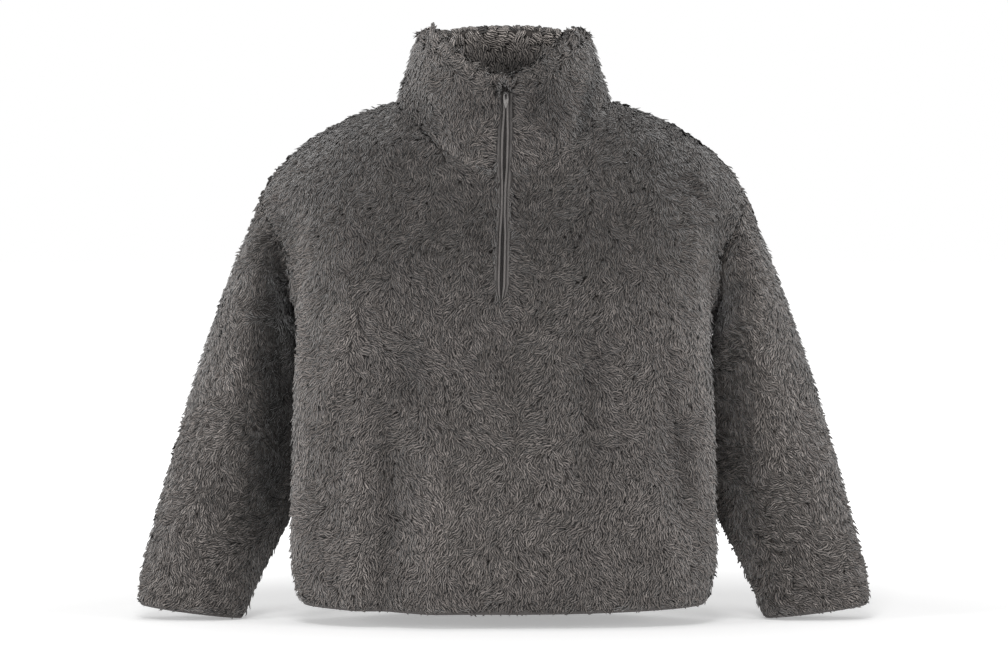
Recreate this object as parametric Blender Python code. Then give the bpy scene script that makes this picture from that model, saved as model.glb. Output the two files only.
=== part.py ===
"""Half-zip fleece pullover, filled out as it is worn, with nothing inside it.

Metres, +Z up, the front towards -Y. The origin is the middle of the neck at the height of the
shoulder points, where the wearer's shoulders hold the garment up.
"""

import math
from collections import namedtuple

import bmesh
import bpy
import numpy as np
from mathutils import Vector

# Cloth
GROUND = 0.0015  # knitted ground cloth
PILE = 0.0055  # depth of the pile on its outer side
WALL = GROUND + PILE
COLLAR_WALL = 2 * WALL  # the collar is folded over at its top edge, so it is two plies
SEAM = 0.0003  # space between pieces at a seam

# Body
HEM_Z = -0.580
HEM_SIDE_RISE = 0.005  # the hem is this much higher at the sides
SHOULDER_Y = 0.005  # the shoulder seam runs at this depth
NECK_HALF = 0.124
NECK_POINT_Z = 0.006
NECK_FRONT_DEPTH = 0.100
NECK_BACK_DEPTH = 0.073
NECK_FRONT_DROP = 0.082
NECK_BACK_DROP = 0.018
SHOULDER_ROUND = 0.150  # how far below the seam the shoulder rounds into the chest
FRONT_FULLNESS = 2.3  # exponents of the section's curve; 2 is an ellipse
BACK_FULLNESS = 1.9
ARMPIT = 0.697  # share of the side's height at the armpit
SIDE_SEAM_ANGLE = math.radians(20)  # how far the side seam lies behind the widest point
FRONT_SCOOP = math.radians(24)  # how far the armhole cuts into the front
BACK_SCOOP = math.radians(30)

# Zip
SLIT_HALF = 0.0095
SLIT_END_HALF = 0.0035
SLIT_END_Z = -0.2285
SLIT_TAPER = 0.022
ZIP_TOP_Z = 0.0145
ZIP_X = 0.0024  # the zip stands this far to one side at the origin's height
ZIP_LEAN = 0.0247  # and leans by this much for each metre down
ZIP_RECESS = 0.0030  # the tapes lie this far below the tips of the pile
TAPE_THICK = 0.0012
COIL_HALF = 0.0026
COIL_THICK = 0.0018

# Slider and pull
HINGE_Z = 0.0133
HINGE_OUT = 0.0042  # the hinge stands this far in front of the tapes
PLATE_CLEAR = 0.0003
PLATE_THICK = 0.0014
ARCH_INNER = 0.0012
ARCH_OUTER = 0.0020
ARCH_HALF = 0.0008
SLIDER_HALF = 0.0032
SLIDER_TOP = 0.0024
SLIDER_BOTTOM = -0.0056
PULL_HALF = 0.0032
PULL_TOP = 0.0007  # above the hinge
PULL_END = 0.0174  # below the hinge
PULL_HOLE_HALF = 0.0015
PULL_HOLE_TOP = -0.0007
PULL_HOLE_END = 0.0075
PULL_HALF_THICK = 0.0006
PULL_POINTS = 20

# Bindings
BINDING_HEIGHT = 0.006
BINDING_THICK = 0.0042

# Collar
COLLAR_BULGE = 0.004
COLLAR_RIM = 0.0065  # the height of the rounded fold at its top
COLLAR_LEVELS = (0.0, 0.06, 0.20, 0.37, 0.54, 0.70, 0.86, 0.92, 0.96)  # shares of its height

# How finely the cloth is divided
ZIP_STATIONS = 20
NECK_STEPS = 10
BACK_NECK_STEPS = 7
SIDE_STEPS = 9
LOWER_ROWS = 10
UPPER_ROWS = 11
SLEEVE_RINGS = 13
CAP_RINGS = 3
CAP_TURN = 0.045  # how strongly the sleeve keeps the body's direction where it leaves the armhole

Section = namedtuple("Section", "side_z half_width widest_y")
BODY = (
    Section(-0.580, 0.2370, -0.028),
    Section(-0.566, 0.2440, -0.030),
    Section(-0.540, 0.2485, -0.032),
    Section(-0.480, 0.2470, -0.036),
    Section(-0.400, 0.2450, -0.037),
    Section(-0.330, 0.2420, -0.036),
    Section(-0.270, 0.2410, -0.031),
    Section(-0.230, 0.2500, -0.020),
    Section(-0.188, 0.2660, -0.008),
    Section(-0.150, 0.2770, 0.001),
    Section(-0.111, 0.2843, SHOULDER_Y),
)

Depth = namedtuple("Depth", "z front back")
DEPTHS = (
    Depth(-0.580, -0.1120, 0.0930),
    Depth(-0.566, -0.1170, 0.0990),
    Depth(-0.530, -0.1190, 0.1020),
    Depth(-0.420, -0.1150, 0.1000),
    Depth(-0.300, -0.1150, 0.1010),
    Depth(-0.200, -0.1180, 0.1050),
    Depth(-0.120, -0.1140, 0.1030),
    Depth(0.010, -0.1000, 0.0930),
)

Point = namedtuple("Point", "x z")
SHOULDER_LINE = (
    Point(NECK_HALF, NECK_POINT_Z),
    Point(0.150, -0.0030),
    Point(0.185, -0.0165),
    Point(0.215, -0.0330),
    Point(0.240, -0.0515),
    Point(0.2605, -0.0712),
    Point(0.2750, -0.0920),
    Point(0.2843, -0.1110),
)

Ring = namedtuple("Ring", "along outer_x outer_z inner_x inner_z middle_y half_depth")
SLEEVE = (
    Ring(0.11, 0.3090, -0.1673, 0.2420, -0.2740, 0.004, 0.054),
    Ring(0.22, 0.3310, -0.2235, 0.2340, -0.3100, 0.018, 0.056),
    Ring(0.33, 0.3500, -0.2796, 0.2270, -0.3460, 0.031, 0.055),
    Ring(0.45, 0.3685, -0.3358, 0.2240, -0.3870, 0.037, 0.052),
    Ring(0.57, 0.3850, -0.3920, 0.2300, -0.4300, 0.038, 0.049),
    Ring(0.69, 0.4010, -0.4481, 0.2470, -0.4780, 0.036, 0.045),
    Ring(0.82, 0.4160, -0.5043, 0.2720, -0.5270, 0.029, 0.040),
    Ring(0.92, 0.4285, -0.5520, 0.2925, -0.5690, 0.021, 0.034),
    Ring(1.00, 0.4300, -0.5800, 0.3035, -0.5970, 0.016, 0.030),
)

# How far apart the zip's tapes stand, as half the gap between them.
Gap = namedtuple("Gap", "z half")
GAPS = (
    Gap(-0.2285, 0.0004),
    Gap(-0.2050, 0.0019),
    Gap(-0.1500, 0.0018),
    Gap(-0.1250, 0.0005),
    Gap(-0.0950, 0.0005),
    Gap(-0.0700, 0.0018),
    Gap(-0.0350, 0.0018),
    Gap(-0.0040, 0.0005),
    Gap(0.0145, 0.0005),
)

# A fold is a soft ridge, or a trough where its height is negative, along a line in the front view.
Fold = namedtuple("Fold", "facing x0 z0 x1 z1 width height")
FRONT, BACK = -1, 1
FOLDS = (
    Fold(FRONT, 0.250, -0.165, 0.248, -0.240, 0.024, -0.008),
    Fold(FRONT, -0.250, -0.165, -0.248, -0.240, 0.024, -0.008),
    Fold(FRONT, 0.288, -0.150, 0.268, -0.235, 0.016, 0.007),
    Fold(FRONT, -0.286, -0.160, -0.272, -0.235, 0.018, 0.004),
    Fold(FRONT, -0.078, -0.400, -0.080, -0.600, 0.020, 0.006),
    Fold(FRONT, -0.138, -0.410, -0.142, -0.600, 0.016, -0.006),
    Fold(FRONT, -0.170, -0.400, -0.168, -0.570, 0.016, 0.004),
    Fold(FRONT, -0.176, -0.230, -0.206, -0.350, 0.020, 0.004),
    Fold(FRONT, 0.098, -0.270, 0.098, -0.400, 0.018, -0.005),
    Fold(FRONT, 0.155, -0.440, 0.196, -0.530, 0.018, 0.006),
    Fold(FRONT, 0.186, -0.350, 0.196, -0.420, 0.014, -0.004),
    Fold(FRONT, 0.000, -0.270, 0.000, -0.330, 0.030, -0.004),
    Fold(BACK, 0.060, -0.300, 0.085, -0.600, 0.024, -0.006),
    Fold(BACK, -0.110, -0.330, -0.120, -0.600, 0.022, 0.006),
    Fold(BACK, -0.040, -0.380, -0.045, -0.600, 0.022, -0.005),
    Fold(BACK, 0.150, -0.260, 0.140, -0.560, 0.022, 0.005),
    Fold(BACK, 0.245, -0.150, 0.238, -0.300, 0.024, -0.008),
    Fold(BACK, -0.245, -0.150, -0.238, -0.300, 0.024, -0.008),
)
COLLAR_FOLDS = (
    Fold(FRONT, 0.112, 0.050, 0.082, -0.030, 0.013, -0.006),
    Fold(FRONT, 0.092, 0.050, 0.062, -0.030, 0.013, 0.003),
    Fold(FRONT, -0.110, 0.030, -0.085, -0.030, 0.014, -0.005),
)


def smooth_step(t):
    """0 before 0, 1 after 1, and an even turn between them."""
    t = min(1.0, max(0.0, t))
    return t * t * (3 - 2 * t)


def read(table, key, column, at):
    """One column of a table at a place between its rows, on a smooth curve through them."""
    keys = [getattr(row, key) for row in table]
    values = [getattr(row, column) for row in table]
    if keys[0] > keys[-1]:
        keys, values = keys[::-1], values[::-1]
    at = min(max(at, keys[0]), keys[-1])
    i = max(0, min(len(keys) - 2, sum(k <= at for k in keys) - 1))

    def slope(j):
        if j == 0 or j == len(keys) - 1:
            j = min(max(j, 1), len(keys) - 1)
            return (values[j] - values[j - 1]) / (keys[j] - keys[j - 1])
        return (values[j + 1] - values[j - 1]) / (keys[j + 1] - keys[j - 1])

    span = keys[i + 1] - keys[i]
    t = (at - keys[i]) / span
    return (
        values[i] * (1 + 2 * t) * (1 - t) ** 2
        + slope(i) * span * t * (1 - t) ** 2
        + values[i + 1] * t * t * (3 - 2 * t)
        - slope(i + 1) * span * t * t * (1 - t)
    )


def fold_height(folds, x, z, facing_y):
    """How far the folds move a point of the cloth outwards. facing_y is its normal's Y."""
    total = 0.0
    for fold in folds:
        facing = smooth_step(fold.facing * facing_y * 1.6)
        run = Vector((fold.x1 - fold.x0, fold.z1 - fold.z0))
        out = Vector((x - fold.x0, z - fold.z0))
        t = min(1.0, max(0.0, out.dot(run) / run.length_squared))
        away = (out - t * run).length / fold.width
        total += fold.height * facing * math.exp(-away * away)
    return total


def armhole_share(v):
    """0 at the armpit and 1 at the shoulder point."""
    return max(0.0, (v - ARMPIT) / (1 - ARMPIT))


def end_angle(v, facing):
    """The angle round the section at which the front or back ends, at its side seam or armhole."""
    w = armhole_share(v)
    seam = SIDE_SEAM_ANGLE * (1 - w) ** 1.5
    scoop = FRONT_SCOOP if facing == FRONT else BACK_SCOOP
    return math.pi / 2 - facing * seam - scoop * abs(math.sin(math.pi * w)) ** 0.8


def neck_edge(angle, facing):
    """A point of the neck seam. The angle is 0 at the middle of the front or back."""
    depth = NECK_FRONT_DEPTH if facing == FRONT else NECK_BACK_DEPTH
    drop = NECK_FRONT_DROP if facing == FRONT else NECK_BACK_DROP
    return Vector((
        NECK_HALF * math.sin(angle),
        SHOULDER_Y + facing * depth * math.cos(angle),
        NECK_POINT_Z - drop * math.cos(angle) ** 2,
    ))


def column_top(neck, past, facing):
    """The top end of a column: on the neck seam, or past it on the shoulder seam.

    neck is the angle of the neck seam and past is None, or the share of the shoulder it has passed.
    """
    if past is None:
        return neck_edge(neck, facing)
    first = math.asin(NECK_HALF / BODY[-1].half_width)
    x = BODY[-1].half_width * math.sin(first + (math.pi / 2 - first) * past)
    return Vector((x, SHOULDER_Y, read(SHOULDER_LINE, "x", "z", x)))


def body_point(sideways, v, facing, top):
    """A point of the body's outer side.

    sideways is the angle from the middle, v is 0 at the hem and 1 at the column's top end.
    """
    across = math.sin(sideways)
    side_z = HEM_Z + v * (BODY[-1].side_z - HEM_Z)
    hem_z = HEM_Z + HEM_SIDE_RISE * across * across
    z = hem_z + v * (top.z - hem_z)
    half = read(BODY, "side_z", "half_width", side_z)
    widest = read(BODY, "side_z", "widest_y", side_z)
    behind = (facing == BACK) != (sideways > math.pi / 2)
    fullness = BACK_FULLNESS if behind else FRONT_FULLNESS
    inwards = (1 - min(1.0, abs(across)) ** fullness) ** (1 / fullness)
    deepest = read(DEPTHS, "z", "back" if behind else "front", z)
    full_y = widest + (deepest - widest) * inwards
    rounding = smooth_step(across / 0.75)
    t = min(1.0, max(0.0, (top.z - z) / SHOULDER_ROUND))
    round_share = (1 - (1 - t) ** 2.2) ** (1 / 2.2)
    share = rounding * round_share + (1 - rounding) * t * (2 - t)
    return Vector((half * across, top.y + (full_y - top.y) * share, z))


def slit_half(z):
    """Half the width of the front's slit, which narrows at its lower end."""
    narrow = 1 - smooth_step((z - SLIT_END_Z) / SLIT_TAPER)
    return SLIT_HALF - (SLIT_HALF - SLIT_END_HALF) * narrow


def zip_middle(z):
    """How far to the side the middle of the zip lies."""
    return ZIP_X + ZIP_LEAN * min(z, 0.0)


def columns(facing):
    """The neck angles of the columns from the middle to the neck point, then None to the side."""
    if facing == FRONT:
        first = math.asin(SLIT_HALF / NECK_HALF)
        steps = NECK_STEPS
    else:
        first, steps = 0.0, BACK_NECK_STEPS
    necks = [first + (math.pi / 2 - first) * i / steps for i in range(steps + 1)]
    return necks + [None] * SIDE_STEPS


def rows():
    """v from the hem to the top edge, with one row at the armpit and one at the slit's end."""
    low = [ARMPIT * i / LOWER_ROWS for i in range(LOWER_ROWS)]
    return low + [ARMPIT + (1 - ARMPIT) * i / UPPER_ROWS for i in range(UPPER_ROWS + 1)]


def half_panel(facing):
    """The right half of the front or back as an array of points, a row for each level.

    The columns are spread evenly at the hem and gather towards the neck at the top.
    """
    necks = columns(facing)
    top_half = BODY[-1].half_width
    grid = []
    for v in rows():
        end = end_angle(v, facing)
        line = []
        for k, neck in enumerate(necks):
            past = None if neck is not None else (k - len(necks) + 1 + SIDE_STEPS) / SIDE_STEPS
            top = column_top(neck, past, facing)
            even = end * (k / (len(necks) - 1)) ** 1.1
            at_top = math.asin(min(1.0, top.x / top_half))
            at_top -= (math.pi / 2 - end) * (at_top / (math.pi / 2)) ** 2
            line.append(body_point(even + (at_top - even) * v ** 7, v, facing, top))
        grid.append(line)
    return np.array(grid)


def grid_normals(grid, wrap=False):
    """Unit normals of a grid of points, across the second axis then along the first."""
    along = np.gradient(grid, axis=0)
    if wrap:
        across = (np.roll(grid, -1, axis=1) - np.roll(grid, 1, axis=1)) / 2
    else:
        across = np.gradient(grid, axis=1)
    normals = np.cross(across, along)
    return normals / np.maximum(np.linalg.norm(normals, axis=2, keepdims=True), 1e-12)


def mirrored(grid):
    """The grid and its mirror image joined into one, running from -X to +X."""
    other = grid[:, ::-1] * np.array([-1.0, 1.0, 1.0])
    return np.concatenate([other, grid], axis=1)


def folded(points, normals, folds):
    """Points moved along their normals by the folds."""
    moved = points.copy()
    for place in np.ndindex(points.shape[:-1]):
        x, _, z = points[place]
        moved[place] += normals[place] * fold_height(folds, x, z, normals[place][1])
    return moved


class Panel:
    """A front or back: its outer and inner points, and the normals that its neighbours share."""

    def __init__(self, facing):
        self.base = mirrored(half_panel(facing))
        if facing == BACK:
            self.base = np.delete(self.base, self.base.shape[1] // 2, axis=1)
        self.normals = grid_normals(self.base) * -facing
        self.relax_normals()
        self.share_shoulder_normals()
        if facing == FRONT:
            self.shape_slit()
        self.outer = self.inner = None

    def share_shoulder_normals(self):
        """Front and back meet along the shoulder, so both use the seam's own upright normal."""
        top = self.base[-1]
        on_seam = [j for j in range(len(top)) if abs(top[j][0]) >= NECK_HALF - 1e-6]
        for j in on_seam:
            before, after = (top[k] if k in on_seam else top[j] for k in (j - 1, j + 1))
            normal = np.array([before[2] - after[2], 0.0, after[0] - before[0]])
            self.normals[-1, j] = normal / np.linalg.norm(normal)
        for j in range(len(top)):
            near = smooth_step((abs(top[j][0]) / NECK_HALF - 0.8) / 0.2)
            if j not in on_seam and near > 0:
                neck_point = min(on_seam, key=lambda k: abs(k - j))
                mixed = near * self.normals[-1, neck_point] + (1 - near) * self.normals[-1, j]
                self.normals[-1, j] = mixed / np.linalg.norm(mixed)

    def relax_normals(self):
        """Evens out the normals, so that the inner side follows the outer without kinks."""
        for _ in range(3):
            n = np.pad(self.normals, ((1, 1), (1, 1), (0, 0)), mode="edge")
            mean = 2 * self.normals + n[:-2, 1:-1] + n[2:, 1:-1] + n[1:-1, :-2] + n[1:-1, 2:]
            self.normals = mean / np.linalg.norm(mean, axis=2, keepdims=True)

    def shape_slit(self):
        """Moves the two middle columns to the edges of the slit."""
        middle = self.base.shape[1] // 2
        for i in range(len(self.base)):
            z = self.base[i, middle, 2]
            self.base[i, middle, 0] = zip_middle(z) + slit_half(z)
            self.base[i, middle - 1, 0] = zip_middle(z) - slit_half(z)

    def fold(self):
        """Lays the folds in the outer side and puts the inner side a wall's thickness behind it."""
        self.outer = folded(self.base, self.normals, FOLDS)
        self.inner = self.outer - WALL * self.normals

    def armhole(self, side):
        """Outer points and normals down the armhole, from the shoulder point to the armpit."""
        j = -1 if side > 0 else 0
        pick = slice(None, LOWER_ROWS - 1, -1)
        return self.outer[pick, j], self.normals[pick, j]


def share_normals(front, back):
    """Gives front and back the same normals along the side seams and even ones round the armholes."""
    for j in (0, -1):
        for i in range(LOWER_ROWS + 1):
            both = front.normals[i, j] + back.normals[i, j]
            front.normals[i, j] = back.normals[i, j] = both / np.linalg.norm(both)
        top_row = len(front.normals) - 1
        places = [(front, i) for i in range(top_row, LOWER_ROWS - 1, -1)]
        places += [(back, i) for i in range(LOWER_ROWS + 1, top_row)]
        loop = np.array([panel.normals[i, j] for panel, i in places])
        for _ in range(4):
            loop = 2 * loop + np.roll(loop, 1, axis=0) + np.roll(loop, -1, axis=0)
            loop /= np.linalg.norm(loop, axis=1, keepdims=True)
        for (panel, i), normal in zip(places, loop):
            panel.normals[i, j] = normal
        for i in (LOWER_ROWS, top_row):
            back.normals[i, j] = front.normals[i, j]


def make_panels():
    """The front and back, folded, with the normals that they share."""
    front, back = Panel(FRONT), Panel(BACK)
    share_normals(front, back)
    front.fold()
    back.fold()
    return front, back


def away_from(line, normals, onwards, wrap=False):
    """Unit vectors in the cloth and square to its seam, pointing to the side of the points onwards."""
    if wrap:
        tangents = np.roll(line, -1, axis=0) - np.roll(line, 1, axis=0)
    else:
        tangents = np.gradient(line, axis=0)
    away = np.cross(normals, tangents)
    away /= np.linalg.norm(away, axis=1, keepdims=True)
    return away * np.sign(np.sum(away * (onwards - line), axis=1, keepdims=True))


def seam_face(mesh, outer_a, outer_b, inner_a, inner_b):
    """Two triangles across the edge of a wall, split the same way on both sides of a seam."""
    if outer_a.co.x + outer_a.co.z > outer_b.co.x + outer_b.co.z:
        mesh.faces.new([outer_b, outer_a, inner_b])
        mesh.faces.new([outer_a, inner_a, inner_b])
    else:
        mesh.faces.new([outer_b, outer_a, inner_a])
        mesh.faces.new([outer_b, inner_a, inner_b])


def wall_mesh(name, outer, inner, material, missing=(), wrap=False):
    """A closed wall between two grids of points. missing holds the cells that are left out."""
    n_rows, n_cols = outer.shape[:2]
    mesh = bmesh.new()
    layers = [
        [[mesh.verts.new(p) for p in line] for line in grid.tolist()] for grid in (outer, inner)
    ]
    edges = {}
    for i in range(n_rows - 1):
        for j in range(n_cols if wrap else n_cols - 1):
            if (i, j) in missing:
                continue
            k = (j + 1) % n_cols
            corners = [(i, j), (i, k), (i + 1, k), (i + 1, j)]
            for layer, order in zip(layers, (corners, corners[::-1])):
                mesh.faces.new([layer[a][b] for a, b in order])
            for a, b in zip(corners, corners[1:] + corners[:1]):
                if (b, a) in edges:
                    del edges[(b, a)]
                else:
                    edges[(a, b)] = True
    for a, b in edges:
        seam_face(mesh, *(layer[i][j] for layer in layers for i, j in (a, b)))
    return finish(mesh, name, material)


def cap(mesh, line):
    """Closes an end with a strip of faces from the outline's first and last points inwards."""
    low, high = 0, len(line) - 1
    while high - low > 2:
        mesh.faces.new([line[low], line[low + 1], line[high - 1], line[high]])
        low, high = low + 1, high - 1
    if high - low == 2:
        mesh.faces.new(line[low:high + 1])


def loft(name, sections, material, closed=False):
    """A solid through sections of equal point counts, capped at its ends unless it is closed."""
    mesh = bmesh.new()
    lines = [[mesh.verts.new(p) for p in section] for section in np.asarray(sections).tolist()]
    count = len(lines)
    for i in range(count if closed else count - 1):
        here, there = lines[i], lines[(i + 1) % count]
        for j in range(len(here) - 1):
            mesh.faces.new([here[j], here[j + 1], there[j + 1], there[j]])
        seam_face(mesh, there[0], here[0], there[-1], here[-1])
    if not closed:
        cap(mesh, lines[0][::-1])
        cap(mesh, lines[-1])
    return finish(mesh, name, material)


def finish(mesh, name, material):
    """Turns a bmesh into a named object with its material and smooth shading."""
    bmesh.ops.remove_doubles(mesh, verts=mesh.verts, dist=1e-6)
    bmesh.ops.recalc_face_normals(mesh, faces=mesh.faces)
    if mesh.calc_volume(signed=True) < 0:
        bmesh.ops.reverse_faces(mesh, faces=mesh.faces)
    data = bpy.data.meshes.new(name)
    mesh.to_mesh(data)
    mesh.free()
    data.materials.append(material)
    data.shade_smooth()
    data.set_sharp_from_angle(angle=math.radians(50))
    made = bpy.data.objects.new(name, data)
    bpy.data.collections["fleece_pullover"].objects.link(made)
    return made


def finish_material(name, colour, roughness, metallic=0.0):
    """A Principled BSDF with one colour."""
    material = bpy.data.materials.new(name)
    material.use_nodes = True
    shader = material.node_tree.nodes["Principled BSDF"]
    shader.inputs["Base Color"].default_value = (*colour, 1.0)
    shader.inputs["Roughness"].default_value = roughness
    shader.inputs["Metallic"].default_value = metallic
    return material


def make_front(panel, material):
    """The front, with its slit for the zip."""
    middle = panel.outer.shape[1] // 2 - 1
    missing = {
        (i, middle) for i, line in enumerate(panel.base[:-1]) if line[middle, 2] >= SLIT_END_Z - 0.002
    }
    move_top(panel, FRONT)
    return wall_mesh("front", panel.outer, panel.inner, material, missing)


def move_top(panel, facing):
    """Opens the shoulder seam by moving the top row half the seam's space off it."""
    for grid in (panel.outer, panel.inner):
        grid[-1, :, 1] += facing * SEAM / 2


def open_side_seams(front, back):
    """Opens the side seams, whose columns front and back share below the armpit."""
    for panel in (front, back):
        for j, near in ((0, 1), (-1, -2)):
            for i in range(LOWER_ROWS + 1):
                run = panel.outer[i, near] - panel.outer[i, j]
                step = run / np.linalg.norm(run) * SEAM / 2
                panel.outer[i, j] += step
                panel.inner[i, j] += step


def ring_turn(j, count, ring):
    """The angle of point j of a sleeve's ring.

    The armhole's points are even in height, and the rings turn from that to even angles.
    """
    even = 2 * math.pi * j / count
    level = math.acos(max(-1.0, 1 - 4 * min(j, count - j) / count))
    level = level if j <= count / 2 else 2 * math.pi - level
    return even + (level - even) * max(0.0, 1 - ring / 5)


def sleeve_base(front, back, side):
    """Rings of a sleeve's outer points, their normals, and the directions in which it leaves the body.

    The first ring is the armhole. Each ring starts at its top and runs down the front.
    """
    front_line, front_normals = front.armhole(side)
    back_line, back_normals = back.armhole(side)
    first = np.concatenate([front_line, back_line[-2:0:-1]])
    first_normals = np.concatenate([front_normals, back_normals[-2:0:-1]])
    count = len(first)
    rings = []
    for k in range(1, SLEEVE_RINGS + 1):
        along = SLEEVE[0].along + (1 - SLEEVE[0].along) * (k - 1) / (SLEEVE_RINGS - 1)
        ox, oz, ix, iz, y, depth = (
            read(SLEEVE, "along", column, along) for column in Ring._fields[1:]
        )
        middle = np.array([side * (ox + ix) / 2, y, (oz + iz) / 2])
        half = np.array([side * (ox - ix) / 2, 0.0, (oz - iz) / 2])
        forward = np.array([0.0, -depth, 0.0])
        turns = [ring_turn(j, count, k) for j in range(count)]
        rings.append(np.array([
            middle + half * math.cos(turn) + forward * math.sin(turn) for turn in turns
        ]))
    beyond = first.mean(axis=0) + np.array([side * 0.2, 0.0, 0.0])
    leave = away_from(first, first_normals, beyond, wrap=True)
    base = np.array([first] + cap_rings(first, leave, rings) + rings)
    normals = grid_normals(base, wrap=True) * side
    normals[0] = first_normals
    return base, normals, leave


def cap_rings(first, leave, rings):
    """Rings between the armhole and the sleeve, on curves that leave the body's cloth smoothly."""
    arrive = (rings[1] - first) / 2
    made = []
    for step in range(1, CAP_RINGS + 1):
        t = step / (CAP_RINGS + 1)
        made.append(
            first * (1 + 2 * t) * (1 - t) ** 2 + leave * CAP_TURN * t * (1 - t) ** 2
            + rings[0] * t * t * (3 - 2 * t) - arrive * t * t * (1 - t)
        )
    return made


def open_seam(outer, inner, leave):
    """Moves the edge of a piece off its seam, a little further on its hidden side."""
    outer += SEAM * leave
    inner += 4 * SEAM * leave


def make_sleeve(name, front, back, side, material):
    """Makes a sleeve and returns the outer and inner points of its end."""
    base, normals, leave = sleeve_base(front, back, side)
    fade = np.array([smooth_step(k / (CAP_RINGS + 1)) for k in range(len(base))])[:, None, None]
    outer = base + (folded(base, normals, FOLDS) - base) * fade
    inner = outer - WALL * normals
    open_seam(outer[0], inner[0], leave)
    wall_mesh(name, outer, inner, material, wrap=True)
    return outer[-1], inner[-1]


def binding_sections(outer, inner, down):
    """Sections of a binding round the end of a wall: a rounded band just past its edge."""
    sections = []
    for o, i, d in zip(outer, inner, down):
        across = (i - o) / np.linalg.norm(i - o)
        centre = (o + i) / 2 + across * 0.0006 + d * (2 * SEAM + BINDING_HEIGHT / 2)
        section = []
        for a, b in ((-1, -1), (1, -1), (1, 0.4), (0.5, 1), (-0.5, 1), (-1, 0.4)):
            section.append(centre + across * a * BINDING_THICK / 2 + d * b * BINDING_HEIGHT / 2)
        sections.append(section)
    return sections


def make_hem_binding(front, back, material):
    """The band that binds the hem, in one ring."""
    outer = np.concatenate([front.outer[0], back.outer[0, ::-1][1:-1]])
    inner = np.concatenate([front.inner[0], back.inner[0, ::-1][1:-1]])
    down = np.tile(np.array([0.0, 0.0, -1.0]), (len(outer), 1))
    return loft("hem_binding", binding_sections(outer, inner, down), material, closed=True)


def make_cuff_binding(name, outer, inner, material):
    """The band that binds a cuff."""
    spokes = outer - outer.mean(axis=0)
    axis = np.cross(spokes, np.roll(spokes, -1, axis=0)).sum(axis=0)
    down = -np.sign(axis[2]) * axis / np.linalg.norm(axis)
    lines = np.tile(down, (len(outer), 1))
    return loft(name, binding_sections(outer, inner, lines), material, closed=True)


def rim_height(angle):
    """The height of the collar's top edge. The angle is 0 at the front and pi at the back."""
    rise = smooth_step((math.degrees(angle) - 2) / 58)
    return 0.032 + 0.058 * rise + 0.010 * smooth_step((math.degrees(angle) - 90) / 90)


def rim_point(angle, side):
    """A point of the outer side of the collar's top edge."""
    depth = 0.095 if angle < math.pi / 2 else 0.076
    return np.array([
        side * 0.101 * math.sin(angle),
        SHOULDER_Y - depth * math.cos(angle),
        rim_height(angle),
    ])


def collar_half_gap(share):
    """Half the space between the collar's front edges: wide over the zip, closed above it."""
    return SLIT_HALF - (SLIT_HALF - 0.0006) * smooth_step((share - 0.86) / 0.06)


def collar_columns(front, back):
    """Base points and normals round the neck with the angle of each, from +X round the back."""
    found = []
    middle = front.outer.shape[1] // 2
    front_angles = [a for a in columns(FRONT) if a is not None]
    for step, angle in enumerate(front_angles):
        j = middle + step
        found.append((front.outer[-1, j], front.normals[-1, j], angle, 1))
    back_middle = back.outer.shape[1] // 2
    back_angles = [a for a in columns(BACK) if a is not None]
    for step in range(len(back_angles) - 2, -1, -1):
        j = back_middle + step
        found.append((back.outer[-1, j], back.normals[-1, j], math.pi - back_angles[step], 1))
    flip = np.array([-1.0, 1.0, 1.0])
    for point, normal, angle, _ in found[-2::-1]:
        found.append((point * flip, normal * flip, angle, -1))
    return found


def collar_outer(base, angle, side, share):
    """A point of the collar's outer side, at a share of its height."""
    top = rim_point(angle, side)
    point = base + (top - base) * share
    outwards = np.array([side * math.sin(angle), -math.cos(angle), 0.0])
    return point + outwards * COLLAR_BULGE * math.sin(math.pi * share) * abs(math.cos(angle))


def collar_shell(front, back):
    """Outer and inner grids of the collar, without folds, and the normals of its outer side."""
    found = collar_columns(front, back)
    outer = np.array([
        [collar_outer(base, angle, side, share) for base, _, angle, side in found]
        for share in COLLAR_LEVELS
    ])
    normals = grid_normals(outer)
    normals[0] = [normal for _, normal, _, _ in found]
    return outer, normals


def make_collar(front, back, material):
    """The folded collar: a thick wall round the neck with a rounded top edge."""
    outer, normals = collar_shell(front, back)
    for i, share in enumerate(COLLAR_LEVELS):
        half = collar_half_gap(share)
        middle = zip_middle(outer[i, 0, 2]) * (1 - smooth_step((share - 0.86) / 0.06))
        outer[i, 0, 0], outer[i, -1, 0] = middle + half, middle - half
    normals[:, 0, 0] = normals[:, -1, 0] = 0.0
    fade = np.array([smooth_step(share / 0.3) for share in COLLAR_LEVELS])[:, None, None]
    outer += (folded(outer, normals, COLLAR_FOLDS) - outer) * fade
    thick = [WALL + (COLLAR_WALL - WALL) * smooth_step(share / 0.2) for share in COLLAR_LEVELS]
    inner = outer - normals * np.array(thick)[:, None, None]
    open_seam(outer[0], inner[0], away_from(outer[0], normals[0], outer[2]))
    sections = []
    for j in range(outer.shape[1]):
        tip, half = (outer[-1, j] + inner[-1, j]) / 2, (outer[-1, j] - inner[-1, j]) / 2
        rim = []
        for turn in (45, 90, 135):
            rise = COLLAR_RIM * math.sin(math.radians(turn))
            rim.append(tip + half * math.cos(math.radians(turn)) + np.array([0.0, 0.0, rise]))
        sections.append(list(outer[:, j]) + rim + list(inner[::-1, j]))
    loft("collar", sections, material)
    return outer


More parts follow.
